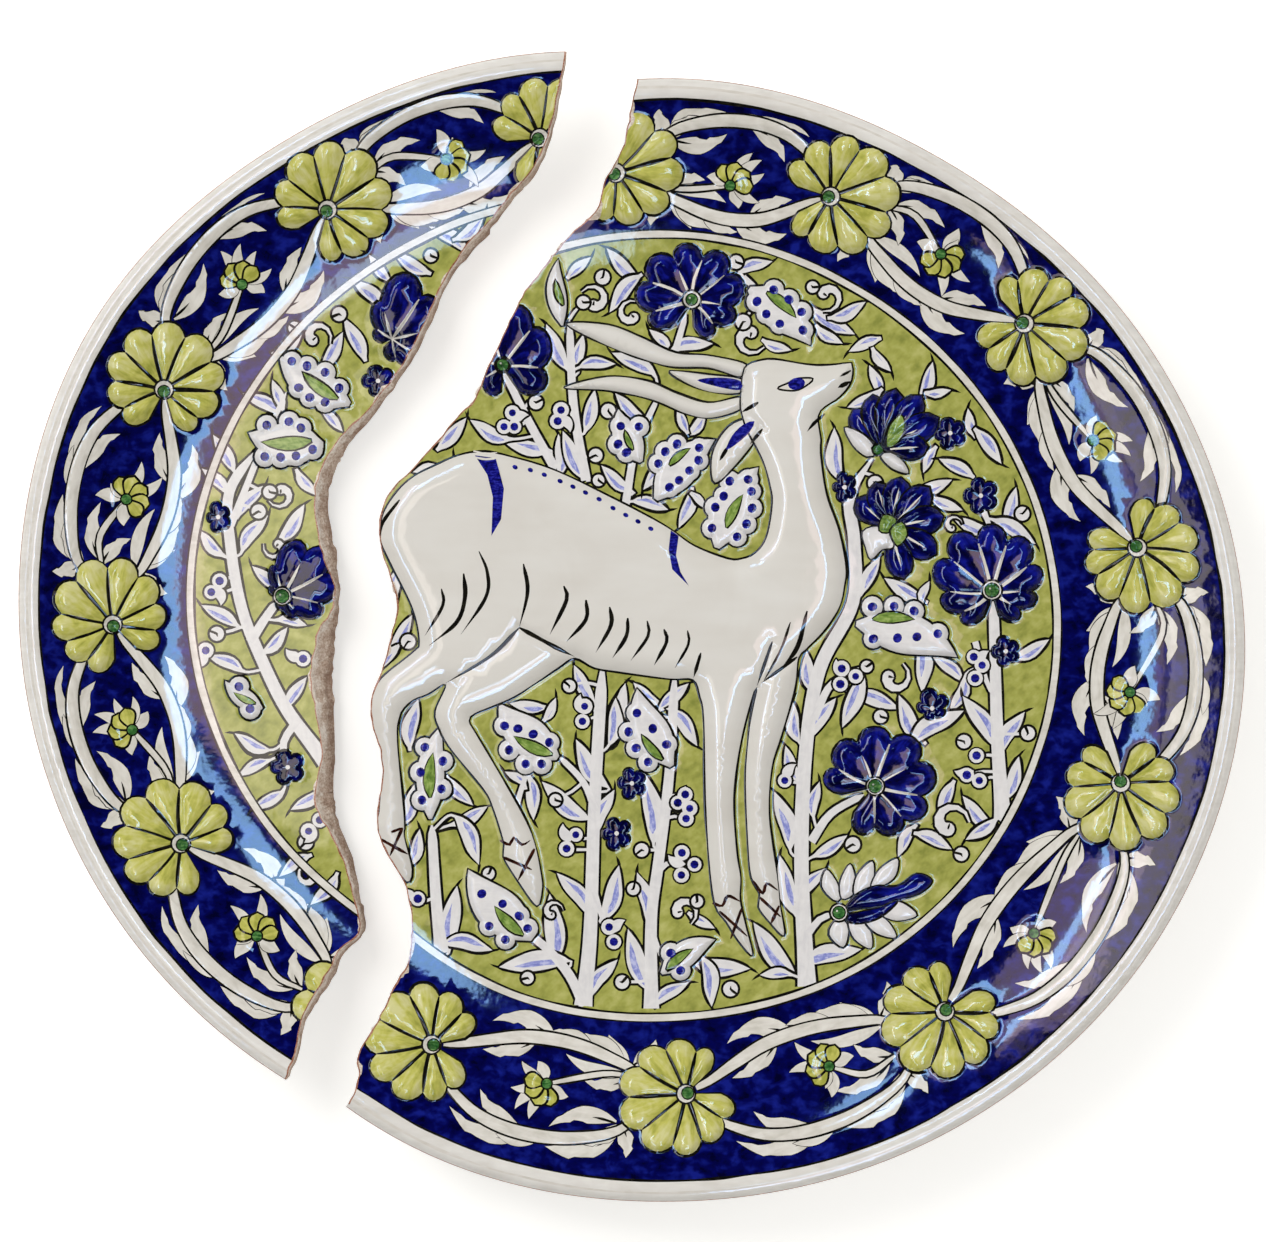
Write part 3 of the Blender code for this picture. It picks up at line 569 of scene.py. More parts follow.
borderScroll = {
    "stemWidth": 3.7, "twigWidth": 1.7,
    # leaves wider than this have a vein and torn edges
    "veined": 3.9,
    # (share of the way to the next rosette, mm out from the middle line)
    "upperStem": [
        (0.17, 8.5), (0.21, 11.5), (0.29, 14.2), (0.43, 16.7), (0.58, 17.2), (0.71, 15.2), (0.82, 10.5),
        (0.86, 8)],
    "lowerStem": [
        (0.16, -8.5), (0.20, -11.2), (0.28, -14), (0.39, -16.8), (0.51, -17.8), (0.65, -16.2),
        (0.77, -11.5), (0.88, -5.6), (0.93, -3.5)],
    # the twig of a small flower, by the way it faces
    "upTwig": [(0.19, -8.0), (0.30, -8.2)], "downTwig": [(0.20, 3.0), (0.32, 4.6)],
    # leaves: base, tip, width, bend
    "leaves": [
        ((0.20, 10.5), (0.160, 20.5), 4.6, 0.10), ((0.21, 11.5), (0.435, 22.0), 6.4, 0.16),
        ((0.52, 17.5), (0.795, 18.6), 5.0, 0.20), ((0.22, 8.5), (0.455, 10.4), 4.8, -0.16),
        ((0.47, 17.5), (0.62, 21.8), 3.4, 0.10), ((0.56, 15), (0.73, 7.6), 4.4, 0.14),
        ((0.20, -7.2), (0.365, -3.6), 4.2, 0.12), ((0.20, -8.6), (0.47, -11.0), 3.6, 0.08),
        ((0.185, -11.0), (0.085, -20.5), 5.2, -0.12), ((0.20, -12.0), (0.315, -21.8), 3.8, 0.02),
        ((0.22, -12.5), (0.435, -22.6), 5.2, -0.06), ((0.53, -18.2), (0.80, -20.4), 5.4, -0.20),
        ((0.19, 9.0), (0.345, 18.8), 4.2, 0.10), ((0.36, -16.6), (0.545, -22.4), 4.0, -0.08),
        ((0.60, -17.0), (0.775, -5.4), 5.0, 0.10)],
    # by a flower that faces down two leaves give way to two others
    "leftOut": (3, 6),
    "downLeaves": [((0.22, 3.0), (0.44, 8.0), 4.8, 0.18), ((0.21, 2.2), (0.33, -5.6), 4.2, 0.14)],
}


def drawScroll(canvas, one, two, flower):
    # the two stems and their leaves between a rosette and the next one clockwise
    def place(u, v):
        radius = one[1] + (two[1] - one[1]) * u + v
        return polar(radius, one[0] + (two[0] - one[0]) * u)

    sway = chance.normal(0, 0.5, 8)    # how far leaves stray from their places
    leaves = borderScroll["leaves"]
    if flower[2] == "down":
        left = borderScroll["leftOut"]
        leaves = [leaf for k, leaf in enumerate(leaves) if k not in left] + borderScroll["downLeaves"]
    for index, (base, tip, width, bend) in enumerate(leaves):
        shift = sway[index % 8]
        strayed = place(tip[0] + shift * 0.008, tip[1] + shift)
        borderLeaf(canvas, place(*base), strayed, width * 1.28, bend * 0.6, width > borderScroll["veined"])
    upper, lower = ([place(*p) for p in borderScroll[name]] for name in ("upperStem", "lowerStem"))
    twig = [place(*p) for p in borderScroll[flower[2] + "Twig"]] + [polar(flower[1], flower[0])]
    stemWidth = borderScroll["stemWidth"]
    for knots, width in ((twig, borderScroll["twigWidth"]), (lower, stemWidth), (upper, stemWidth)):
        path = through(knots, 2.6)
        t = np.linspace(0, 1, len(path))
        wide = width * (0.6 + 0.6 * np.sin(math.pi * t) ** 0.8)
        fill(canvas, "ink", ribbon(path, wide + 1.3 + hand(len(path), 0.15)))
        edge = ribbon(path, wide - 0.1 + hand(len(path), 0.1))
        fill(canvas, "slip", edge, path[0], bearing(path[0], path[-1]))
    raiseUp(canvas, ribbon(path, np.full(len(path), stemWidth + 0.4)), 0.45, 1.8)    # the upper stem


bloom = {
    "gap": 42, "notch": 0.2, "lift": 2.8, "shoulder": 4.25, "crown": 0.0,
    "grooveDepth": 0.05, "grooveWidth": 1.1, "outline": 0.9,
}
smallBloom = {
    "petals": 5, "gap": 0, "notch": 0.3, "lift": 0.8, "shoulder": 1.6, "crown": 0.0, "grooveDepth": 0.15,
    "grooveWidth": 0.8, "outline": 0.65,
}


def drawBloom(canvas, spec):
    x, y, length, width, gapAt, petals, hub = spec
    start, notches = petalled(canvas, (x, y), hub, length, width, math.radians(gapAt), petals,
                              "cobaltPetal", bloom)
    for notch in notches:    # white lines between the petals, some of them cut short
        reachOut = 0.93 if chance.random() > 0.3 else 0.72
        end = start + (notch - start) * reachOut
        bow = leftOf(end - start) * chance.normal(0, 0.03)
        stroke(canvas, "slip", [start, (start + end) / 2 + bow, end],
               chance.uniform(0.7, 1.2), 0.4, 0.0 if reachOut < 0.9 else 0.4, 3.5)


def drawSmallBloom(canvas, spec):
    x, y, length, width, rise = spec
    hub = (x, y + rise)
    petalled(canvas, (x, y), hub, length, width, 0.0, smallBloom["petals"], "cobaltPetal", smallBloom)
    fill(canvas, "whiteSlip", circle(hub, 0.85, 8))


def drawSideBloom(canvas, spec):
    # a flower seen from the side: separate petals fanned over a white calyx
    hub = np.array(spec["hub"], float)
    for degrees, length, width in spec["petals"]:
        turn = math.radians(degrees)
        edge = petalOutline(hub, turn, length, width, 11)
        inked(canvas, "cobaltPetal", edge, 0.6, 0.15, 0.1, hub, turn)
        raiseUp(canvas, edge, 2.6, width * 0.45, 0.2)
        away = length * heading(turn)
        shine = [hub + away * 0.2, hub + away * chance.uniform(0.6, 0.85)]
        stroke(canvas, "slip", shine, 0.8, 0.6, 0.0, 3.0)
    for paint, lift, outlines in spec["calyx"]:
        for points in outlines:
            edge = through(points, 1.6, True)
            inked(canvas, paint, edge, 0.55, 0.12, 0.15, hub)
            raiseUp(canvas, edge, lift, 2.6, 0.1)


fieldLeaf = {
    "belly": 0.59,       # half the width at the widest, as a share of the width given
    "stalk": 0.75,       # half the width of the stalk
    "line": 0.62, "slipInset": 0.3,
    "trail": 2.9, "flick": 1.7,    # the ink runs on past the tip and turns aside
    "shadeWidth": 0.33, "shadeShift": 0.25,
}


def drawLeaf(canvas, knots, length, width):
    # a white leaf of the field on its stalk, with ink outline, trailing tip and a lilac-blue shade
    path = through(knots, 1.6)
    run = np.concatenate([[0], np.cumsum(np.hypot(*np.diff(path, axis=0).T))])
    t = np.clip((run - run[-1] + length) / length, 0, 1)
    swollen = np.sin(math.pi * t ** 0.9) ** 0.85 * width * fieldLeaf["belly"]
    side = sideways(path) * np.maximum(swollen, fieldLeaf["stalk"] * (t < 0.5))[:, None]
    outline = np.vstack([path + side, (path - side)[-2::-1]])
    along = (path[-1] - path[-2]) / max(np.hypot(*(path[-1] - path[-2])), 1e-6)
    flick = leftOf(along) * chance.choice([-fieldLeaf["flick"], fieldLeaf["flick"]])
    fill(canvas, "ink", grow(outline, fieldLeaf["line"], 0.18))
    stroke(canvas, "ink", [path[-3], path[-1], path[-1] + along * fieldLeaf["trail"] + flick],
           1.15, 0.9, 0.0, 1.5)
    fill(canvas, "whiteSlip", grow(outline, -fieldLeaf["slipInset"]), path[0], bearing(path[-4], path[-1]))
    shade = path + side * fieldLeaf["shadeShift"] * chance.choice([-1, 1])
    shade = shade[(t > 0.12) & (t < 0.86)][::2]
    stroke(canvas, "lilacWash", shade, width * fieldLeaf["shadeWidth"], 0.2, 0.05, 2.2)


def twigShape(knots, width, narrow, flare=0.0):
    # its path and widths: narrowing to its far end, and flared where it springs from the stem
    path = through(knots, 3.0)
    t = np.linspace(0, 1, len(path))
    wide = width * (1 + (narrow - 1) * t + flare * np.exp(-t * 14)) * np.clip((1.03 - t) * 9, 0.1, 1)
    return path, wide


def inkTwig(canvas, path, wide):
    fill(canvas, "ink", ribbon(path, wide + 1.25 + hand(len(path), 0.2)))


def slipTwig(canvas, path, wide):
    edge = ribbon(path, np.maximum(wide - 0.5, 0.3) + hand(len(path), 0.06))
    fill(canvas, "whiteSlip", edge, path[0], bearing(path[0], path[-1]))


def drawDotted(canvas, spec):
    # a puffy leaf: one lobe round each blue dot, a pointed tip, and a green slit down the middle
    base, tip, width, slit, dots = spec
    edges = [circle(dot, chance.uniform(3.7, 4.1), 16) for dot in dots]
    edges.append(blade(base, tip, width * 0.8, 0.02)[0])
    for edge in edges:
        fill(canvas, "ink", grow(edge, 0.55, 0.1))
    for edge in edges:
        fill(canvas, "whiteSlip", grow(edge, -0.25), base)
        raiseUp(canvas, edge, 1.7, 2.9, 0.2)
    inked(canvas, "copperLeaf", slitOutline(*slit), 0.4, 0.15, 0.15, slit[0], bearing(*slit))
    for dot in dots:
        fill(canvas, "dotBlue", oval(dot, chance.uniform(3.1, 3.7), 3.2, chance.uniform(0, 3), 12), dot)


def drawBuds(canvas, dots):
    # a cluster of white berries with a blue eye each, and a small pointed leaf behind
    middle = np.mean(dots, 0)
    tip = middle + 7.4 * heading(chance.uniform(0, 6.28))
    edges = [circle(dot, chance.uniform(2.8, 3.2), 14) for dot in dots] + [blade(middle, tip, 4.4, 0.1)[0]]
    for edge in edges:
        fill(canvas, "ink", grow(edge, 0.45, 0.1))
    for edge in edges:
        fill(canvas, "whiteSlip", grow(edge, -0.3), middle)
    for dot in dots:
        fill(canvas, "dotBlue", circle(dot, chance.uniform(1.3, 1.65), 9), dot)


def drawKnob(canvas, middle, size):
    # a round bud with a hooked line in it
    middle = np.array(middle, float)
    turn = chance.uniform(0, 6.28)
    fill(canvas, "ink", circle(middle, size + 0.35, 16))
    fill(canvas, "whiteSlip", circle(middle, size - 0.55, 16))
    hook = [middle + size * heading(turn), middle, middle + size * 0.35 * heading(turn + 2.2)]
    stroke(canvas, "ink", hook, 0.95, 0.9, 0.2, 1.0)


def drawCurl(canvas, middle, size, turn, flip):
    # a comma-shaped scroll: a stem that thickens as it coils in, and ends in a bulb
    t = np.linspace(0, 1, 9)
    angle = math.radians(turn) + flip * t * 4.4
    radius = size * (1.0 - 0.62 * t)
    path = np.array(middle) + np.stack([radius * np.cos(angle), radius * np.sin(angle)], 1)
    wide = size * (0.18 + 0.62 * t)
    fill(canvas, "ink", ribbon(path, wide + 1.1))
    fill(canvas, "ink", circle(path[-1], wide[-1] / 2 + 0.5, 12))
    fill(canvas, "whiteSlip", ribbon(path, wide - 0.7))
    fill(canvas, "whiteSlip", circle(path[-1], wide[-1] / 2 - 0.4, 12))
    stroke(canvas, "ink", [path[-1], path[-1] + (np.array(middle) - path[-1]) * 0.9], 0.8, 0.9, 0.1, 1.0)


largeField = {
    # blooms: (x, y, length, width, degrees to the gap between petals, petals, hub)
    "blooms": [
        (1.5, 125.8, 38.5, 34, 255, 8, (2, 122.5)), (108.5, 23.5, 39, 37, 270, 9, (110, 17.5)),
        (69.5, -50.3, 40, 39, 212, 8, (67.5, -52.3)), (-62, 102.5, 27, 37, 285, 6, (-66, 99))],
    # small blooms: (x, y, length, width, how far the hub is above the middle)
    "smallBlooms": [
        (57, 55.5, 8, 11, 0), (95, 75, 11, 11, 0), (106, 52.5, 12, 13, 0), (115, -3.5, 10, 10, 0),
        (88.5, -22.5, 11, 11, -1.5), (-19.5, -51, 10, 11, 0), (-25, -69, 10, 12, 0)],
    # blooms from the side: petals (degrees, length, width), calyx (paint, height, outlines)
    "sideBlooms": [
        {"hub": (70, 69),
         "petals": [(124, 17.5, 9.5), (98, 20, 9.5), (76, 22.5, 10), (53, 24.5, 10), (29, 24, 10),
                    (4, 17, 9)],
         "calyx": [("whiteSlip", 2.2,
                    [[(57, 77), (60, 70.5), (65, 66.5), (68.5, 68), (66, 72.5), (62, 75.5)],
                     [(70, 66.8), (74, 62.3), (80, 60.5), (78, 65), (73.5, 68)]]),
                   ("copperLeaf", 1.5, [[(72.3, 70), (73, 77), (77.2, 81.5), (78.6, 77), (76, 71.5)]]),
                   ("copperGreen", 1.0, [[(67, 69.5), (69.5, 71), (71, 68.5), (68.5, 67)]])]},
        {"hub": (73.5, 41),
         "petals": [(140, 16, 9.5), (108, 17, 9.5), (78, 18.5, 10), (46, 20, 10), (12, 19.5, 10),
                    (-30, 19, 10), (-75, 19, 9.5)],
         "calyx": [("whiteSlip", 2.2,
                    [[(63.5, 39.5), (64.5, 34), (66.5, 29.5), (70.5, 33), (74.5, 34), (73.5, 39),
                      (68.5, 41.5)]]),
                   ("copperLeaf", 1.4,
                    [[(69.5, 40), (71, 45.5), (75.5, 44), (73.5, 39.5)],
                     [(73.5, 40), (77.5, 43), (79.5, 38.5), (76, 34.5)]])]},
        {"hub": (56, -97.5),
         "petals": [],
         "calyx": [("whiteSlip", 1.1,
                    [[(53, -93), (48.8, -88), (50.5, -82), (54.5, -87), (55.5, -92.5)],
                     [(56, -92.5), (55.5, -86), (59, -80), (61, -86), (60, -91)],
                     [(60.5, -91), (61.5, -84), (67, -79), (67.5, -85.5), (65.5, -89)],
                     [(66.5, -88.5), (69.5, -82), (76, -78), (75.5, -84), (71.5, -87.5)],
                     [(53.5, -100.5), (51.5, -105.5), (56.5, -110), (58.5, -104), (57, -100.5)],
                     [(58.5, -101), (60.5, -107), (66.5, -110.5), (66.5, -104.5), (63, -100.5)],
                     [(64.5, -100.5), (68.5, -105), (75.5, -106.5), (73, -101), (68, -98)],
                     [(69.5, -97.5), (75.5, -100.5), (83, -98.5), (78, -94), (73, -93.5)]]),
                   ("cobaltPetal", 1.5,
                    [[(57, -97), (61, -91.5), (68, -88), (76, -88), (83, -83.5), (88.5, -86), (84, -90.5),
                      (76, -93), (70, -95), (62, -96)]]),
                   ("cobaltPetal", 1.3,
                    [[(57.5, -98.5), (63, -97.2), (70, -95.6), (76, -93.2), (70, -98.8), (63, -101.3),
                      (58, -100.5)]])]}],
    # hubs: (x, y, outer radius, eye)
    "hubs": [
        (2, 123, 3.0, 1.9), (110, 18.5, 3.3, 2.4), (68, -52, 3.0, 2.3), (-66, 99.5, 2.4, 2.0),
        (55, -97.5, 2.9, 2.1)],
    # dotted leaves: (base, tip, width, slit, dots)
    "dotted": [
        ((22.5, 127), (46.5, 108.5), 18, ((29, 125.5), (39.5, 116.5)),
         [(25.5, 122.3), (31.5, 126.5), (37, 123), (28.8, 117.8), (33.7, 114.3), (41.5, 118.5),
          (42, 112)]),
        ((-11, 51), (8.5, 74.5), 17, ((-6, 63.5), (1.5, 69.5)),
         [(-3.3, 71), (-7.5, 68.3), (-10, 64), (4.7, 69.7), (4.5, 65.2), (1.2, 61.5), (-2.5, 58),
          (-6, 55.5)]),
        ((11, 33.5), (23.5, 64), 19, ((14.5, 41), (20.5, 53)),
         [(15.7, 57.7), (13.5, 52.3), (10.5, 48.3), (9.3, 40.8), (22.3, 58.3), (23.5, 54), (23.7, 48),
          (21.7, 42.3), (18.3, 37.7)]),
        ((61, 6.5), (98.5, -2.5), 19, ((67, 8), (82, 8)),
         [(67, 12.5), (74.8, 12.7), (82, 11), (67.3, 1), (76, 1.3), (83, 1.7), (90.5, 2.8)]),
        ((-46, -42), (-69, -24), 18, ((-48, -40.5), (-62, -34)),
         [(-65.3, -30.3), (-60.5, -31.3), (-55, -33.3), (-49.2, -36.3), (-63.7, -39), (-57.7, -44),
          (-52, -44)]),
        ((-5, -45), (-20, -18), 17, ((-8.5, -42.5), (-16, -33.5)),
         [(-17.7, -25.7), (-12, -31.3), (-7, -37), (-20.7, -32.5), (-18, -38.3), (-13.7, -43.3)]),
        ((-55, -107), (-80.5, -84), 20, ((-58.5, -105.5), (-69, -95)),
         [(-73.5, -90.7), (-66, -94.3), (-60, -98.7), (-57, -103.2), (-70.8, -102.3), (-65, -107.2)]),
        ((-92, -64), (-90.5, -29.5), 13, ((-92, -56), (-91, -40)),
         [(-95, -57), (-88, -53), (-95.5, -47), (-87.5, -43), (-94, -38)]),
        ((-44.5, 113.5), (-48, 137.5), 9, ((-44.2, 121), (-47, 130)), []),
        ((-16, 64.5), (-26, 83), 13, ((-19, 69), (-22, 76)),
         [(-23.5, 77.5), (-17, 77.3), (-24.5, 71), (-21.5, 68)]),
        ((-9, -119.5), (9.5, -105.5), 12, ((-7, -118), (2.5, -110.5)), [(-5.5, -112), (-2, -118.3)])],
    # buds: the berries of each cluster
    "buds": [
        [(-62.5, 82.3), (-65.5, 77.3), (-61.8, 77.3)], [(-45, 83.3), (-46.2, 79.3)],
        [(56, -9.7), (61, -12.5), (55.5, -15.3)], [(103.5, -5.5), (106.5, -8.5), (104, -13.2)],
        [(-39.7, -69.5), (-43, -74.5)], [(-27.7, -102.7), (-26, -108)],
        [(-1.5, -76), (3, -80.2), (-1.7, -84)], [(-0.3, -55), (-3, -58), (1.3, -60), (0, -63.7)],
        [(-36.5, -23.3), (-37.3, -28.7)], [(-96.5, -92.5)], [(35.5, -50)],
        [(101, -48), (105.5, -50), (104.5, -41)]],
    # stems: (width, narrowing, knots)
    "stems": [
        (5.0, 0.8, [(-37, -131), (-34.5, -105), (-33, -60), (-30, -8)]),
        (3.8, 0.75, [(-36.6, -131), (-42, -120), (-49.5, -111), (-58, -104)]),
        (2.8, 0.75, [(-32.6, -61), (-37, -50.5), (-46, -41)]),
        (4.4, 0.75, [(-12.5, -132), (-12.5, -100), (-10, -80), (-6, -47), (-4, -10)]),
        (2.4, 0.7, [(-11, -84), (-7, -80), (-2, -79)]),
        (5.2, 0.8,
         [(43.5, -124), (41.5, -80), (43, -40), (48, -10), (60, 14), (60.5, 36), (59, 52), (67, 66)]),
        (3.2, 0.8, [(45, -72), (52, -62), (64, -55)]),
        (2.8, 0.8, [(44, -105), (48, -100), (54, -97.5)]),
        (5.0, 0.7, [(114, -64), (112, -35), (111, 0), (110.5, 15)]),
        (3.0, 0.8, [(46, -28), (51, -17), (57, -12)]),
        (4.4, 0.75, [(-88, -112), (-90, -92), (-91.5, -66)]),
        (3.6, 0.75, [(-36, 58), (-40.5, 85), (-42, 116)]),
        (3.4, 0.8, [(-47, 62), (-56, 78), (-66, 98)]),
        (2.8, 0.7, [(-4, 104), (0, 118)]),
        (3.0, 0.7, [(-22, 48), (-18, 70), (-10, 88)]),
        (2.6, 0.7, [(20.5, 131), (24, 128), (30, 122)]),
        (2.4, 0.7, [(104, 0), (108, -14), (111, -20)]),
        (2.6, 0.7, [(-60, -70), (-61, -60), (-57, -46)]),
        (2.4, 0.7, [(107, 47), (109, 42), (110, 38)]),
        (2.2, 0.7, [(-12, -105), (-9, -113), (-6, -117)]),
        (2.4, 0.7, [(-33, -90), (-30, -100), (-28, -104)])],
    # white leaves: (x and y of the middle, x and y of the tip)
    "leaves": [
        (-56, 70, -65, 71.8), (-69, 76, -77, 79.5), (-85, 74, -79.5, 80), (-46, 66, -46, 74),
        (-40, 66, -44, 75), (-24, 58, -30, 63), (-35, 82, -33, 90), (-19, 84, -25, 89),
        (-46, 105, -50, 113.5), (-38, 103, -37, 110), (-33, 99, -26, 99.8), (-18, 99, -26, 103.5),
        (-39, 134, -34.5, 138), (-22, 135, -28, 141), (-21, 126, -27, 119), (-9, 108, -13, 112),
        (1, 105.5, 9, 107), (24, 134, 30.5, 136.5), (52, 116, 60, 111), (51, 111, 56, 107.5),
        (57, 119, 64, 122), (32, 107, 37.5, 105), (65, 107, 59, 104.5), (70, 102, 73.5, 97.5),
        (68, 93, 66, 99), (65, 88, 58.5, 84.5), (86, 93, 88.5, 100), (90, 90, 95, 90.5),
        (55, 66, 53.5, 76), (103, 78, 101.5, 83.5), (108, 71, 113, 64.5), (88, 66, 85.5, 61),
        (98, 62, 91.5, 65.5), (87, 55, 95, 58), (93, 50, 99, 47.5), (116, 48, 118.5, 55),
        (104, 42, 96.5, 44.5), (117, 40, 125, 35.5), (66, 23, 69.5, 30), (80, 18, 72, 22.5),
        (86, 17, 87.5, 21.5), (84, -7, 84.8, -17.5), (95, -10, 89, -5.5), (98, -18, 95, -25),
        (67, -21, 76, -24), (60, -20, 56.5, -30), (45, -12, 43.5, -4), (40, -30, 38.5, -22),
        (48, -29, 53.5, -21), (82, -29, 77, -20), (89, -32, 99, -25.5), (123, -3, 130, 0.5),
        (106, -30, 100, -20.5), (117, -34, 121.5, -26), (35, -66, 32, -55), (37, -89, 34, -78),
        (47, -58, 48, -51), (51, -74, 57.5, -70), (33, -112, 25, -102), (33, -120, 27, -120),
        (51, -114, 62, -111), (80, -71, 76.5, -77), (88, -71.5, 95, -74.5), (-98, -31, -96.5, -21.5),
        (-82, -53, -77, -58.5), (-79, -63, -72, -59.5), (-80, -70.5, -75, -79.5), (-84, -101, -82.5, -89),
        (-80, -110, -70.5, -111), (-48, -105, -49, -92), (-53, -116, -66, -117), (-40, -92, -46, -84),
        (-42, -58, -51, -51), (-28, -92, -24.5, -81.5), (-30, -122, -25, -115), (-13, -62, -14.5, -49),
        (-15.5, -94, -17.5, -84), (-16.5, -116, -20.5, -104.5), (-6, -127.5, 0.5, -123),
        (11, -116, 22, -117.5), (7, -121, 9, -130.5), (-56, -23, -63, -22.3), (-49.5, -25, -47, -20.5),
        (-56, -55, -55, -63.5), (-61, -50, -65, -47), (-36, -16, -40, -9), (-13, -19, -18.5, -15),
        (-5, -21, 0.5, -15.5), (-2, -30, 3.5, -37), (0, 49, -2.5, 41.5), (4, 51, 7, 48),
        (-14, 49, -7, 47.5), (3, 78, 7, 82.5), (-1, 79, -3, 84), (-24, -27, -22, -16),
        (-27, -30, -25.5, -21), (-33, -45, -39, -36), (-29, -62, -26, -54), (39, -45, 36, -38),
        (117, -50, 119.5, -42), (106, -62, 100, -56), (107, -67, 101, -71), (94, -56, 91, -63),
        (-98, -75, -96, -68), (-101, -60, -98, -52), (45, -88, 50, -82), (5, -100, 10, -103),
        (-10, 60, -15, 55), (-78, 60, -83, 66), (-93, 62, -98, 61), (30, 76, 33, 84),
        (-104, 18, -103, 27), (-103, 3, -99, 9), (-107, -6, -103, -1)],
    "knobs": [
        (-30, 131), (-54, 86), (-28, 83), (-31.5, 58), (-32.5, 67), (18, 136.5), (20.5, 115),
        (45.5, 127.5), (68, 57), (70, -27), (123, -33), (60, -73), (99, -76.5), (16, -125), (4, -93.5),
        (-23, -122.5), (-57, -121), (-71, -83.5), (-47, -57), (-42, -16), (-16, -75), (-19, -89),
        (65, -9), (100, -36), (-37, 122), (121, 46), (-100, 0)],
    # curls: (x, y, size, turn, hand)
    "curls": [
        (-33, 123, 5.5, 150, -1), (-20, 118, 5, 60, 1), (23, 109, 6, 330, -1), (51, 124, 5.5, 250, 1),
        (-1, -97, 5.5, 300, 1), (95, -65, 7, 0, 1), (75, -13, 6, 60, -1), (-48, -97, 4, 0, 1),
        (96, 42, 3.6, 0, 1)],
}

smallField = {
    "blooms": [(-61, 104, 24, 33, 215, 7, (-66, 97)), (-98, 10.5, 25, 29, 205, 8, (-105, 5))],
    "smallBlooms": [(-71, 82, 11, 11, 0), (-128.5, 33, 8, 11, 0), (-103.5, -57, 12, 12, 0)],
    "sideBlooms": [], "hubs": [(-105.5, 4.5, 3.0, 2.3)],
    "dotted": [
        ((-81, 73.5), (-108, 89), 17, ((-85.5, 75.5), (-98, 85)),
         [(-102, 89), (-96.5, 87.3), (-90, 85), (-85, 79.3), (-99.5, 79.5), (-95.5, 76), (-90, 74.3)]),
        ((-90.5, 59), (-118, 61), 20, ((-95, 60.5), (-113, 60)),
         [(-111, 66), (-103, 67.3), (-98.7, 65), (-111.7, 54.7), (-106, 54.5), (-100.5, 55),
          (-94.5, 57.3)]),
        ((-112.5, -36), (-127, -27), 9, ((-115, -34), (-123, -30)), [(-117, -36), (-121, -28)])],
    "buds": [[(-128, 10), (-131, 6)], [(-98, -18)], [(-96, -80), (-92, -76)], [(-133, -15)]],
    "stems": [
        (4.6, 0.75,
         [(-90, -55), (-104, -36), (-113, -18), (-120, 0), (-124, 22), (-124.5, 42), (-114, 58)]),
        (3.6, 0.8, [(-117, -12), (-112, -4), (-107, 3)]),
        (3.0, 0.8, [(-100, -40), (-105, -48), (-104, -56)]),
        (2.8, 0.7, [(-124, 30), (-118, 45), (-112, 60), (-104, 78)])],
    "leaves": [
        (-112, 73, -119, 77), (-107, 76, -109, 82), (-126, 55, -130, 62), (-129, 45, -134, 50),
        (-117, 38, -112, 44), (-103, 30, -98, 37), (-116, 26, -111, 33), (-130, 23, -135, 28),
        (-127, -3, -134, 1), (-125, -20, -132, -17), (-109, -12, -104, -7), (-101, -31, -97, -25),
        (-115, -48, -122, -45), (-115, -57, -121, -60), (-111, 10, -116, 15), (-103, -5, -97, -6),
        (-88, 92, -84, 99), (-79, 96, -83, 104), (-74, 112, -80, 118), (-58, 124, -65, 128),
        (-45, 132, -52, 137), (-39, 137, -33, 142), (-104, 96, -98, 101), (-70, 122, -74, 127),
        (-96, -68, -102, -72), (-88, 68, -84, 64), (-97, 46, -93, 41), (-110, -68, -116, -72),
        (-100, -92, -106, -96), (-90, -100, -95, -106)],
    "knobs": [(-129, -9), (-114, 35), (-110, 42), (-97, -84), (-101, 101), (-85, 106), (-52, 127)],
    "curls": [
        (-93, 98, 5.5, 330, 1), (-106, 41, 5, 200, 1), (-108, 22, 4.5, 160, 1), (-96, -96, 4.5, 90, 1)],
}


fieldStem = {
    "wider": 1.12, "flare": 0.25,
    "trunk": 4,            # stems wider than this are flared at the foot
    "leafWithin": 9,       # a leaf this near to a stem grows from it
    "budWithin": 12,       # a bud this near to a stem hangs on a twig from it
    "twigWidth": 1.7, "twigEnd": 0.8,
}


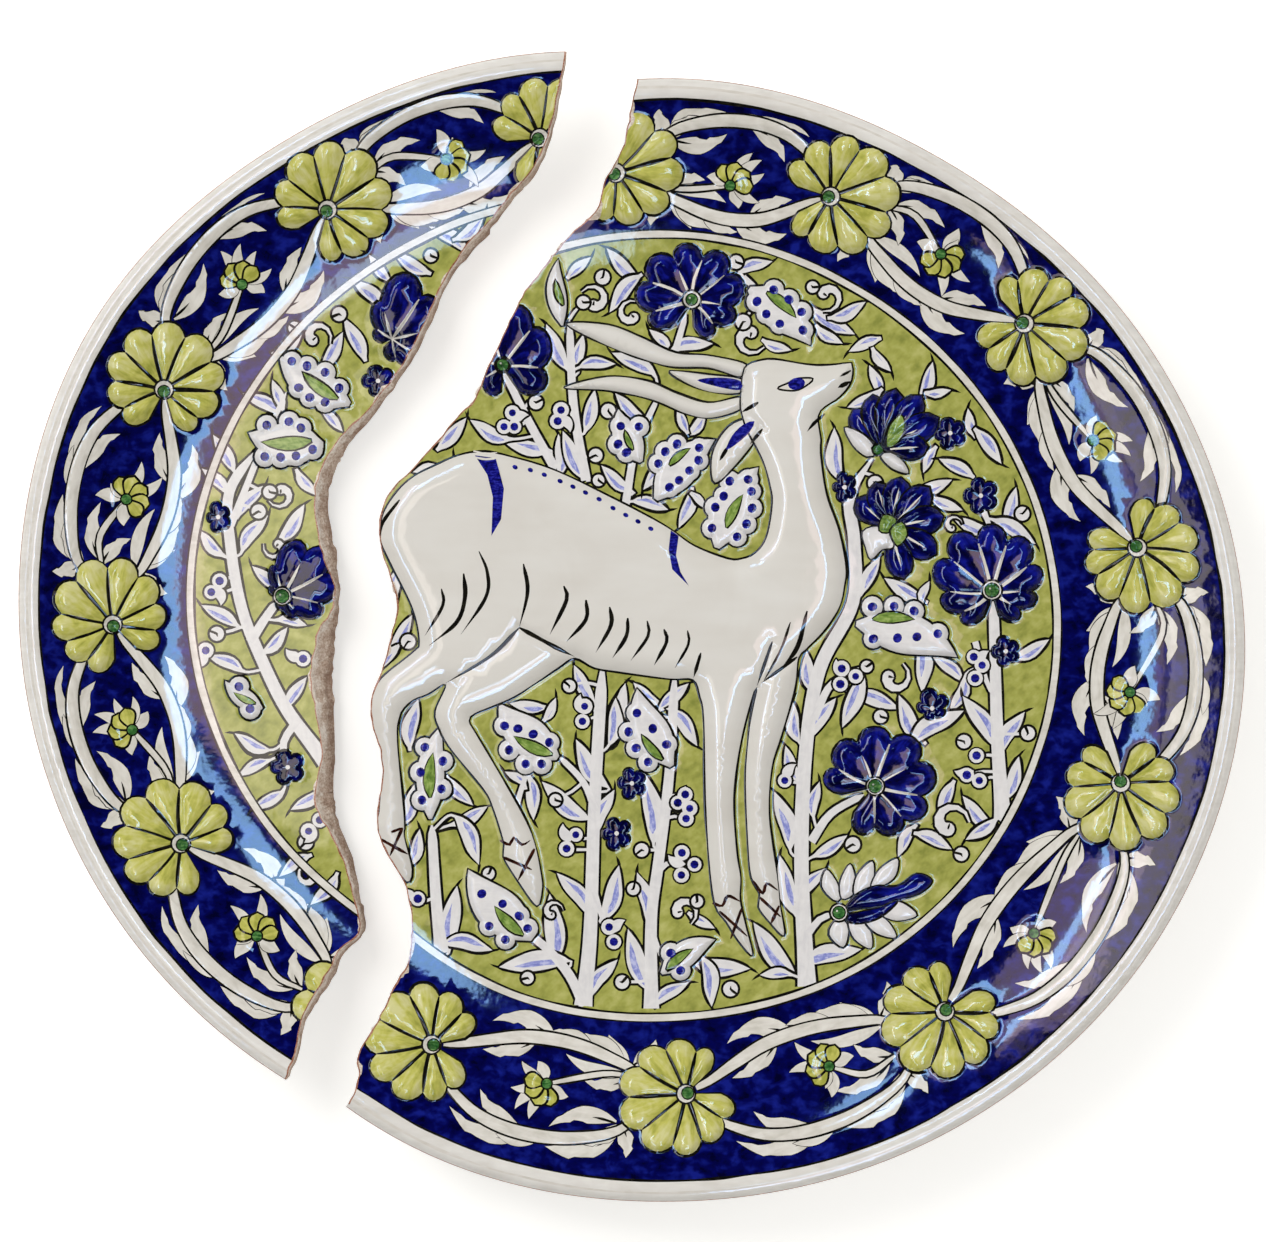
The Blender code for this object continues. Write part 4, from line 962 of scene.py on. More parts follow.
def drawField(canvas, field):
    ways = [through(knots, 2.0) for _, _, knots in field["stems"]]
    trunks, uphill = np.vstack(ways), np.vstack([np.gradient(way, axis=0) for way in ways])
    twigs = []
    for width, narrow, knots in field["stems"]:
        flare = fieldStem["flare"] if width > fieldStem["trunk"] else 0.0
        twigs.append(twigShape(knots, width * fieldStem["wider"], narrow, flare))
    leaves = []
    for x, y, tipX, tipY in field["leaves"]:
        middle, tip = np.array([x, y], float), np.array([tipX, tipY], float)
        base, tip = middle - (tip - middle) * 0.9, middle + (tip - middle) * 1.12
        length = np.hypot(*(tip - base))
        nearest = np.argmin(np.hypot(*(trunks - base).T))
        gap = np.hypot(*(trunks[nearest] - base))
        across = leftOf(tip - base) * chance.choice([-1, 1]) * chance.uniform(0.03, 0.12)
        knots = [base, base * 0.62 + tip * 0.38 + across, base * 0.28 + tip * 0.72 + across * 0.4, tip]
        if 1.0 < gap < fieldStem["leafWithin"]:
            knots.insert(0, trunks[nearest] - uphill[nearest] * min(gap, 4) * 0.25)
        leaves.append((knots, length, 1.1 + length * 0.21))
    for spots in [field["knobs"]] + field["buds"]:
        for spot in spots:
            near = trunks[np.argmin(np.hypot(*(trunks - spot).T))]
            if np.hypot(*(near - spot)) < fieldStem["budWithin"]:
                knots = [near, (near + spot) / 2 + chance.normal(0, 0.8, 2), spot]
                twigs.append(twigShape(knots, fieldStem["twigWidth"], fieldStem["twigEnd"]))
    # the leaves go between the stems' ink and their slip, so that no line crosses where they meet
    for twig in twigs:
        inkTwig(canvas, *twig)
    for leaf in leaves:
        drawLeaf(canvas, *leaf)
    for twig in twigs:
        slipTwig(canvas, *twig)
    for x, y, size, turn, flip in field["curls"]:
        drawCurl(canvas, (x, y), size, turn, flip)
    for knob in field["knobs"]:
        drawKnob(canvas, knob, chance.uniform(2.6, 3.2))
    for draw, specs in ((drawBuds, "buds"), (drawDotted, "dotted"), (drawBloom, "blooms"),
                        (drawSmallBloom, "smallBlooms"), (drawSideBloom, "sideBlooms")):
        for spec in field[specs]:
            draw(canvas, spec)
    for x, y, outer, eye in field["hubs"]:
        drawHub(canvas, (x, y), outer, eye)


gazelle = {
    # relief: (lift, shoulder), for the body and for the horns and ears
    "relief": (3.1, 8.5), "headRelief": (2.0, 2.6), "crown": 0.6,
    "body": [
        (59.5, 100.3), (60, 98), (59.5, 94), (57.5, 90.5), (54, 87), (50, 84.5), (47.5, 81), (48.5, 72.5),
        (48.3, 68), (50.5, 53), (55, 40), (57.5, 27), (57, 20), (55.5, 13), (52, 7), (48, 2), (43, -3),
        (40.5, -6), (39.5, -15), (37, -25), (34, -35), (31, -45), (29.9, -60), (31, -72), (33, -85),
        (34, -95), (35.3, -105.8), (30, -101), (26, -95.5), (26.5, -91), (23.5, -85), (22.3, -75),
        (21.3, -50), (22.5, -33), (24, -24), (25.6, -16.5), (24.5, -18), (20, -35), (17.2, -55),
        (18.2, -75), (19.7, -85), (19.5, -93), (21.5, -102), (24, -113), (19, -108), (14.5, -101),
        (10.5, -95), (8.3, -80), (7, -58), (6.3, -28), (5, -20), (2.5, -13.8), (-6, -13.5), (-24, -11),
        (-33, -9.5), (-40, -6), (-46, -9.5), (-54, -15), (-62, -20), (-70, -23.5), (-76, -26),
        (-78, -28.5), (-75, -34), (-65, -51), (-55.5, -69), (-52, -84), (-51.8, -90), (-53.7, -95.2),
        (-60, -87), (-65.8, -77.5), (-65.5, -73), (-69.5, -60), (-73, -53), (-84.5, -39), (-89, -31),
        (-90.3, -25), (-86.5, -15.5), (-93, -19), (-98, -21), (-101.5, -24), (-103.3, -28), (-103.8, -36),
        (-101.3, -64), (-101.3, -70), (-98.5, -82), (-100.5, -86.5), (-107, -77), (-111.5, -67),
        (-110.5, -61), (-110, -44), (-113.5, -27), (-113, -20), (-109.5, -13), (-98, -3.5), (-96, 0),
        (-98.5, 12), (-107, 29.5), (-110, 37), (-109, 46), (-104, 54), (-98, 59.5), (-90, 63.5),
        (-82, 67), (-74, 68.3), (-66, 67.3), (-48, 62), (-28, 52.5), (-8, 42), (3, 34.5), (15, 29.8),
        (20, 29.8), (25, 32), (29, 38), (31, 50), (30, 57), (28, 64), (25.5, 69.5), (22, 76), (20, 82),
        (19.5, 86), (20.3, 96), (22, 99.5), (26, 101), (32, 101.5), (45, 99.5), (52, 99.5)],
    "upperHorn": [
        (21.5, 99.8), (8, 103), (-4, 104), (-16, 109.5), (-28, 114), (-43, 114.3), (-30, 107),
        (-18, 102.3), (-6, 98.9), (8, 98.4), (19.5, 95.2)],
    "lowerHorn": [
        (19.8, 88), (8, 86), (-3, 89.2), (-14, 93.8), (-28, 95.4), (-44, 91.3), (-28, 90.2), (-12, 86.8),
        (0, 81.8), (9, 80.3), (19.6, 83.6)],
    "upperEar": [(20, 94.4), (8, 96.1), (-6, 97.4), (1, 92.4), (10, 89.4), (20, 89.6)],
    "lowerEar": [(25, 80.5), (17, 78.6), (11.5, 72.5), (9, 65), (10.4, 57), (18, 63.6), (27.6, 76.5)],
    # creases between the limbs, where the relief is pressed in
    "creases": [
        [(-60, 5), (-70, -5), (-86.5, -15.5)], [(-60, 5), (-47, -2), (-40, -6)], [(31, 0), (25.5, -16.5)],
        [(27.6, 76.5), (21, 83), (19.6, 88)], [(19.6, 83), (19.8, 98)], [(40, -5.5), (27, -15)]],
    # brush lines for ribs, folds, nostril and mouth, then for the joints and hooves
    "ribs": [
        [(-88, 19), (-87.5, 13), (-94, 2)], [(-80, 24.5), (-79.5, 16), (-82.5, 7), (-92.5, -1.5)],
        [(-74.5, 32.5), (-71.5, 25), (-72, 16), (-81, 2.5)], [(-58.5, 28), (-57, 18), (-60, 5)],
        [(-44, 20), (-43, 15), (-49, 2.5)], [(-36, 15), (-36, 8), (-43, 0)],
        [(-27.5, 12.5), (-27, 6), (-32.5, -4)], [(-21, 8.5), (-21.5, 2), (-26.5, -6)],
        [(-14, 7.5), (-13.7, 2), (-20, -7)], [(-8, 4.5), (-7, 0), (-11.5, -8.5)],
        [(0.5, 4), (0.8, -1), (-4, -9.5)], [(5.3, -4), (2.7, -13)], [(-60, 5), (-70, -5), (-86.5, -15)],
        [(-60, 5), (-47, -2), (-40, -5.5)], [(31, 0), (25.5, -16)], [(37.5, 7), (34, -3), (27.5, -15)],
        [(43.5, 11), (40, -2), (34, -10)], [(40, -5.5), (27, -15)], [(50, 82), (46, 78.5), (43.5, 75.5)],
        [(59.3, 97.5), (55.3, 95.3)], [(59, 93.5), (54.5, 91.3)], [(26, 86), (20, 82.5)],
        [(27.5, 76.5), (23, 71)], [(15, 70), (12, 65)], [(-103, 51), (-109, 43), (-110, 37)]],
    "hooves": [
        [(-67, -71.5), (-63.5, -73), (-62, -70.5), (-59, -73), (-56, -71.5)],
        [(9.5, -94), (13, -95), (15, -91.5), (19.5, -93.5)],
        [(24, -86), (27.5, -90.5), (29, -87), (33, -89.5)], [(-66, -77.5), (-55.5, -82)],
        [(-54.5, -74.5), (-60.5, -86)], [(12, -97), (22, -106)], [(20, -96), (16, -107)],
        [(26.5, -92), (34, -99)], [(33.5, -95), (30.5, -101.5)], [(-110, -71), (-100, -76.5)],
        [(-102, -67), (-106.5, -77)], [(-106, -68.5), (-102, -67)]],
    # cobalt on the white: two stripes, the dots between them and the hollows of the ears
    "stripes": [
        [(-76, 67), (-71.5, 60), (-69.5, 52), (-70, 38), (-66.5, 44), (-65.5, 55), (-68.5, 66)],
        [(-5.5, 40), (-6.3, 33), (-5, 26), (1, 20), (-2, 25), (-3.6, 31), (-2.7, 38)]],
    "dots": [
        (-61.5, 62.7), (-56, 61.7), (-51, 60), (-45.3, 57.7), (-40.7, 55.7), (-36.2, 53.6), (-31.3, 51.2),
        (-26.3, 48), (-21.7, 45.5), (-17.3, 43.2), (-12.7, 40.6)],
    "earBlue": [
        [(4, 94), (12, 95), (19.5, 93.8), (19.5, 90.5), (12, 91.5)],
        [(24.6, 79.3), (20.5, 78), (16.5, 74), (14.4, 69), (18.3, 71.2), (22.8, 75.3)]],
    # two white lines across the first stripe
    "rumpLines": [[(-76.5, 68.6), (-72, 67.6), (-68, 68)], [(-76, 66.3), (-72, 65.6), (-68, 66)]],
    "eye": [(33, 91), (37, 93), (40, 94.5), (45.5, 94.5), (43, 92), (39, 90.3)],
    "iris": (39.7, 92.7),
}


def drawGazelle(canvas):
    for name in ("upperEar", "lowerEar", "upperHorn", "lowerHorn", "body"):
        outline = through(gazelle[name], 1.9, True)
        inked(canvas, "gazelleSlip", outline, 0.5, 0.18, 0.25)
        lift, shoulder = gazelle["relief"] if name == "body" else gazelle["headRelief"]
        creases = [through(c, 2.0) for c in gazelle["creases"]] if name == "body" else ()
        raiseUp(canvas, outline, lift, shoulder, gazelle["crown"], creases, 0.35, 1.5)
    for points in gazelle["ribs"]:
        stroke(canvas, "ink", points, chance.uniform(1.05, 1.6), 0.35, 0.0)
    for points in gazelle["hooves"]:
        stroke(canvas, "umber", points, 1.1, 0.6, 0.3, 1.2)
    for points in gazelle["stripes"]:
        fill(canvas, "dotBlue", np.array(points, float))
    for points in gazelle["rumpLines"]:
        stroke(canvas, "slip", points, 0.7, 0.8, 0.5)
    for dot in gazelle["dots"]:
        fill(canvas, "dotBlue", oval(dot, 2.1, 1.6, -0.5, 9), dot)
    for points in gazelle["earBlue"]:
        fill(canvas, "dotBlue", through(points, 2.0, True))
    inked(canvas, "slip", through(gazelle["eye"], 1.2, True), 0.45, 0.0, 0.25)
    fill(canvas, "dotBlue", oval(gazelle["iris"], 6.2, 4.3, 0.2, 14))


def brokenEdge(plate):
    # the break at the face, a point about every millimetre, with the grain of the clay in it
    points = np.array(plate["breakLine"], float)
    path = through(points[:, :2], 1.3)
    at = np.concatenate([[0], np.cumsum(np.hypot(*np.diff(points[:, :2], axis=0).T))])
    along = np.concatenate([[0], np.cumsum(np.hypot(*np.diff(path, axis=0).T))])
    run = np.interp(along * at[-1] / along[-1], at, points[:, 2])
    grain = hand(len(path), 0.16, 2) + hand(len(path), 0.22, 7)    # fine grit and longer steps
    return path + sideways(path) * grain[:, None], run


def fragmentOutline(plate):
    # the rim as far as the break, then back along the break
    edge, run = brokenEdge(plate)
    kept = wheelRadius(plate, edge) < turned["radius"] - turned["rimInset"]
    edge, run = edge[kept], run[kept]
    top, bottom = (math.atan2(*edge[k][::-1]) for k in (0, -1))
    start, end = (bottom, top) if plate["keeps"] == "right" else (top, bottom)
    span = (end - start) % (2 * math.pi)
    angles = start + np.linspace(0, span, int(math.degrees(span) / 0.6))
    if plate["keeps"] == "left":
        angles = angles[::-1]
    rimRadius = warp(plate, turned["radius"], angles) - turned["rimInset"]
    rim = np.stack([rimRadius * np.cos(angles), rimRadius * np.sin(angles)], 1)
    return np.vstack([edge, rim]), edge, run


def ringCurve(plate, offset, uneven=0.0):
    # the line between border and field, moved out by the offset
    degrees = np.arange(0, 360, 1.2)
    radius = reach(plate["ring"], np.radians(degrees)) + offset
    return polar(radius + np.append(hand(len(degrees) - 6, uneven, 4), np.zeros(6)), degrees)


def wheelCurve(plate, radius, uneven=0.0):
    # a circle of the wheel, as the plate warped
    degrees = np.arange(0, 360, 1.0)
    out = warp(plate, radius, np.radians(degrees))
    return polar(out + np.append(hand(len(degrees) - 6, uneven, 3), np.zeros(6)), degrees)


def paintPlate(plate, field, withGazelle):
    outline, edge, run = fragmentOutline(plate)
    canvas = {"plate": plate, "outline": outline, "edge": edge, "run": run, "shapes": [], "reliefs": [],
              "spots": []}
    fill(canvas, "lipGlaze", grow(outline, 3.0))
    # a painted shade line round the lip, in the darker glaze between these two circles
    fill(canvas, "lipShade", wheelCurve(plate, turned["lipShade"][0], 0.12))
    fill(canvas, "lipGlaze", wheelCurve(plate, turned["lipShade"][1], 0.12))
    fill(canvas, "ink", wheelCurve(plate, turned["bandLine"] + 0.5, 0.18))
    fill(canvas, "cobaltGround", wheelCurve(plate, turned["bandLine"] - 0.3, 0.15))
    print("painting the border of the", plate["name"], "fragment")
    for one, two, flower in zip(plate["rosettes"], plate["rosettes"][1:], plate["flowers"]):
        drawScroll(canvas, one, two, flower)
    for spec in plate["flowers"]:
        drawBorderFlower(canvas, spec)
    for spec in plate["rosettes"]:
        drawRosette(canvas, spec)
    fill(canvas, "limeGround", ringCurve(plate, 0.0), (0, 0), 0.7)
    print("painting the field of the", plate["name"], "fragment")
    drawField(canvas, field)
    canvas["fieldEdge"] = ringCurve(plate, -1.15, 0.08)
    for paint, outer, inner in (("ink", ringCurve(plate, 1.75, 0.12), ringCurve(plate, -1.9, 0.15)),
                                ("slip", ringCurve(plate, 1.15, 0.08), canvas["fieldEdge"])):
        fill(canvas, paint, np.vstack([outer, outer[:1], inner[:1], inner[::-1]]))
    if withGazelle:
        drawGazelle(canvas)
    for x, y, deep, count in plate["chips"]:
        near = np.argmin(np.hypot(*(edge - (x, y)).T))
        piece = edge[max(near - count, 0):near + count]
        wide = deep * np.sin(np.linspace(0.15, math.pi - 0.15, len(piece))) * 2
        fill(canvas, "chipped", ribbon(piece, wide * (1 + hand(len(piece), 0.2, 2))))
    fill(canvas, "brownEdge", ribbon(edge, 0.75 + np.abs(hand(len(edge), 0.35, 3))))
    rimEdge = outline[len(edge):]
    fill(canvas, "brownEdge", ribbon(rimEdge, np.full(len(rimEdge), 0.55)))
    return canvas


def gridSpots(canvas, step):
    low, high = canvas["outline"].min(0), canvas["outline"].max(0)
    rows = np.arange(low[1], high[1], step * 0.87)
    spots = []
    for k, y in enumerate(rows):
        x = np.arange(low[0] + (k % 2) * step / 2, high[0], step)
        spots.append(np.stack([x, np.full(len(x), y)], 1))
    return np.vstack(spots)


def triangulate(outlines, spots, boundary):
    # one triangle net in which every painted edge is an edge
    edges, start = [], 0
    for outline in [boundary] + outlines:
        k = np.arange(len(outline))
        edges.append(np.stack([start + k, start + (k + 1) % len(outline)], 1))
        start += len(outline)
    points = np.vstack([boundary] + outlines + [spots]).tolist()
    net = delaunay_2d_cdt([Vector(p) for p in points], np.vstack(edges).tolist(), [], 0, 0.004, False)
    corners, faces = np.array([v[:] for v in net[0]]), np.array(net[2])
    a, b, c = (corners[faces[:, k]] for k in range(3))
    area = (b[:, 0] - a[:, 0]) * (c[:, 1] - a[:, 1]) - (b[:, 1] - a[:, 1]) * (c[:, 0] - a[:, 0])
    faces[area < 0] = faces[area < 0][:, ::-1]    # all of them face up
    faces = faces[np.abs(area) > 1e-6]
    return corners, faces[inside(corners[faces].mean(1), boundary)]


def ownersOf(shapes, middles):
    # the topmost shape over each triangle
    order = np.argsort(middles[:, 0])
    x, y = middles[order].T
    owner = np.zeros(len(middles), int)
    for index, shape in enumerate(shapes):
        low, high = shape["outline"].min(0), shape["outline"].max(0)
        first, last = np.searchsorted(x, (low[0], high[0]))
        near = order[first:last][(y[first:last] >= low[1]) & (y[first:last] <= high[1])]
        if len(near):
            owner[near[inside(middles[near], shape["outline"])]] = index
    return owner


def addObject(name, data):
    made = bpy.data.objects.new(name, data)
    bpy.context.scene.collection.objects.link(made)
    return made


def makeObject(name, vertices, faces, materials, slots):
    mesh = bpy.data.meshes.new(name)
    mesh.from_pydata(vertices.tolist(), [], faces)
    for material in materials:
        mesh.materials.append(material)
    mesh.polygons.foreach_set("material_index", np.asarray(slots, np.int32))
    mesh.polygons.foreach_set("use_smooth", np.ones(len(mesh.polygons), bool))
    mesh.update()
    return addObject(name, mesh)


def planView(mesh):
    # a bake map seen from above
    layer = mesh.uv_layers.new(name="OFBake")
    places = np.zeros(len(mesh.vertices) * 3, np.float32)
    mesh.vertices.foreach_get("co", places)
    places = places.reshape(-1, 3)[:, :2]
    low, high = places.min(0), places.max(0)
    corner = np.zeros(len(mesh.loops), np.int32)
    mesh.loops.foreach_get("vertex_index", corner)
    flat = 0.005 + 0.99 * (places - low) / (high - low).max()
    layer.uv.foreach_set("vector", flat[corner].astype(np.float32).ravel())


def faceShape(canvas, corners):
    # height of the face and its true normal, whatever the shape of the triangles round a point
    plate = canvas["plate"]
    height, slope = reliefHeight(canvas, corners)
    apart = 0.15
    for axis, step in enumerate(apart * np.eye(2)):
        rise = plainHeight(plate, corners + step) - plainHeight(plate, corners - step)
        slope[:, axis] += rise / (2 * apart)
    normals = np.column_stack([-slope, np.ones(len(corners))])
    lipTop = turned["ground"] + max(rise for _, rise in turned["face"])    # no petal stands over the lip
    height = np.minimum(height + plainHeight(plate, corners), lipTop)
    return height, normals / np.linalg.norm(normals, axis=1)[:, None]


def glazedFaces(canvas, materials):
    # the painted face as two pieces, border and field, on one net
    plate = canvas["plate"]
    shapes = canvas["shapes"]
    lip = [wheelCurve(plate, turned["radius"] - inset) for inset in turned["lipRings"]]
    spots = np.vstack([gridSpots(canvas, turned["faceGrid"])] + canvas["spots"] + lip)
    spots = spots[inside(spots, grow(canvas["outline"], -0.25))]
    corners, faces = triangulate([s["outline"] for s in shapes], spots, canvas["outline"])
    middles = corners[faces].mean(1)
    owner = ownersOf(shapes, middles)
    height, normals = faceShape(canvas, corners)
    print(plate["name"], "face:", len(shapes), "shapes,", len(faces), "triangles")
    inField = inside(middles, canvas["fieldEdge"])
    paints = sorted({s["paint"] for s in shapes})
    paintOf = np.array([paints.index(s["paint"]) for s in shapes])
    origin = np.array([s["origin"] for s in shapes], float)
    turn = np.array([s["turn"] for s in shapes])
    tone = np.array([s["tone"] for s in shapes])
    made = []
    for part, chosen in (("border", ~inField), ("field", inField)):
        some, who = faces[chosen], owner[chosen]
        used, back = np.unique(some, return_inverse=True)
        vertices = np.column_stack([corners[used] + plate["middle"], height[used]]) * 0.001
        worn = sorted(set(paintOf[who]))
        triangles = back.reshape(some.shape).tolist()
        piece = makeObject(f"{plate['name']}{part.capitalize()}", vertices, triangles,
                           [materials[paints[k]] for k in worn], [worn.index(k) for k in paintOf[who]])
        mesh = piece.data
        mesh.normals_split_custom_set_from_vertices(normals[used].tolist())
        # along and across the brush strokes of each shape, and its own tone
        away = corners[some] - origin[who][:, None]
        c, s = np.cos(turn[who])[:, None], np.sin(turn[who])[:, None]
        brush = np.stack([away[..., 0] * c + away[..., 1] * s, away[..., 1] * c - away[..., 0] * s,
                          np.repeat(tone[who][:, None], 3, 1) * 10], -1)
        mesh.attributes.new("brush", "FLOAT_VECTOR", "CORNER").data.foreach_set(
            "vector", brush.reshape(-1).astype(np.float32))
        planView(mesh)
        made.append(piece)
    canvas["net"] = (corners, faces, height)
    return made


def boundaryLoop(faces):
    # the outer edge of the net, in order
    sides = np.vstack([faces[:, [0, 1]], faces[:, [1, 2]], faces[:, [2, 0]]])
    known = {tuple(side) for side in sides.tolist()}
    following = {a: b for a, b in known if (b, a) not in known}
    start = min(following)
    loop = [start]
    while following[loop[-1]] != start:
        loop.append(following[loop[-1]])
    return np.array(loop)


bodyShape = {
    "rows": (0.0, 0.06, 0.2, 0.36, 0.52, 0.68, 0.84, 1.0),    # rows of points down the wall
    "lumps": (0.28, 0.5),    # how rough the break is, point by point and in longer lumps
    "evened": 6,             # the wall leans by the run of the break over this many points each way
    "clear": 0.4,            # the wall's foot stays this far inside the rim
    "sharp": 38,             # degrees
    "materials": ("earthenware", "glazeEdge", "backGlaze"),
}


def rawBody(canvas, materials):
    # back, foot ring and the broken wall, which hang from the edge of the glazed face
    bare, cutGlaze, glazed = range(3)    # the slots of its materials
    plate = canvas["plate"]
    corners, faces, height = canvas["net"]
    loop = boundaryLoop(faces)
    top, topHeight = corners[loop], height[loop]
    edge = canvas["edge"]
    onBreak = wheelRadius(plate, top) < turned["radius"] - 0.3    # further in than the rim's own points
    nearest = np.array([np.argmin(np.hypot(*(edge - p).T)) for p in top])
    reachOut = bodyShape["evened"]
    evening = np.ones(2 * reachOut + 1) / (2 * reachOut + 1)
    lean = np.stack([np.convolve(np.pad(way, reachOut, mode="edge"), evening, "valid")
                     for way in sideways(edge).T], 1)
    out = lean[nearest]
    out = out / np.linalg.norm(out, axis=1)[:, None]
    share = np.where(onBreak, canvas["run"][nearest], 0.0)
    foot = top.copy()
    for _ in range(3):
        fall = topHeight - backHeight(plate, foot)
        foot = top + out * (share * fall / turned["thickness"])[:, None]
    radius = wheelRadius(plate, foot)
    widest = turned["radius"] - bodyShape["clear"]
    foot = foot * np.where(radius > widest, widest / np.maximum(radius, 1), 1.0)[:, None]
    rows, count, rings = np.array(bodyShape["rows"]), len(loop), []
    lump = np.random.default_rng(5)
    fine, coarse = bodyShape["lumps"]
    for index, level in enumerate(rows):
        flat = top + (foot - top) * level
        z = topHeight + (backHeight(plate, foot) - topHeight) * level
        if 0 < index < len(rows) - 1:
            bump = np.where(onBreak, lump.normal(0, fine, count) + hand(count, coarse, 6), 0.0)
            bump = bump * np.clip(share / 3, 0.35, 1.0)    # roughest where the break is wide
            flat = flat + out * (bump * min(1.0, level * 6))[:, None]
        rings.append(np.column_stack([flat + plate["middle"], z]))
    sides, slots = [], []
    for index in range(len(rows) - 1):
        for k in range(count):
            after = (k + 1) % count
            upper, lower = index * count, (index + 1) * count
            sides.append([upper + k, lower + k, lower + after, upper + after])
            broken = cutGlaze if index == 0 else bare    # the top row is as thick as the glaze
            slots.append(broken if onBreak[k] or onBreak[after] else glazed)
    spots = [wheelCurve(plate, turned["radius"] - inset) for inset in turned["backRings"]]
    spots = np.vstack(spots + [gridSpots(canvas, turned["backGrid"])])
    spots = spots[inside(spots, grow(foot, -0.5))]
    under, underFaces = triangulate([], spots, foot)
    vertices = np.vstack(rings + [np.column_stack([under + plate["middle"], backHeight(plate, under)])])
    footMiddle, footHalf = turned["foot"]
    onFoot = np.abs(wheelRadius(plate, under[underFaces].mean(1)) - footMiddle) < footHalf
    sides += (underFaces[:, ::-1] + count * len(rows)).tolist()
    slots += np.where(onFoot, bare, glazed).tolist()
    piece = makeObject(f"{plate['name']}Body", vertices * 0.001, sides,
                       [materials[name] for name in bodyShape["materials"]], slots)
    down = piece.data.attributes.new("down", "FLOAT", "POINT")
    down.data.foreach_set("value", np.concatenate([np.repeat(rows, count), np.ones(len(under))]))
    # the last row of the wall and the edge of the back become one
    net = bmesh.new()
    net.from_mesh(piece.data)
    bmesh.ops.remove_doubles(net, verts=net.verts, dist=0.00001)
    bmesh.ops.dissolve_degenerate(net, dist=0.000001, edges=net.edges)
    net.to_mesh(piece.data)
    net.free()
    piece.data.set_sharp_from_angle(angle=math.radians(bodyShape["sharp"]))
    print(plate["name"], "body:", len(piece.data.polygons), "faces")
    return piece


def linear(hexColour):
    # an sRGB hex colour as the linear values that a shader takes
    parts = [int(hexColour[k:k + 2], 16) / 255 for k in (1, 3, 5)]
    return tuple(p / 12.92 if p <= 0.04045 else ((p + 0.055) / 1.055) ** 2.4 for p in parts) + (1.0,)


def addNode(tree, kind, inputs=None, **settings):
    made = tree.nodes.new(kind)
    for name, value in settings.items():
        setattr(made, name, value)
    for name, value in (inputs or {}).items():
        if isinstance(value, bpy.types.NodeSocket):
            tree.links.new(value, made.inputs[name])
        else:
            made.inputs[name].default_value = value
    return made


def perMm(size):
    # noise scale for features of this size in millimetres, on coordinates in metres
    return 1000.0 / size
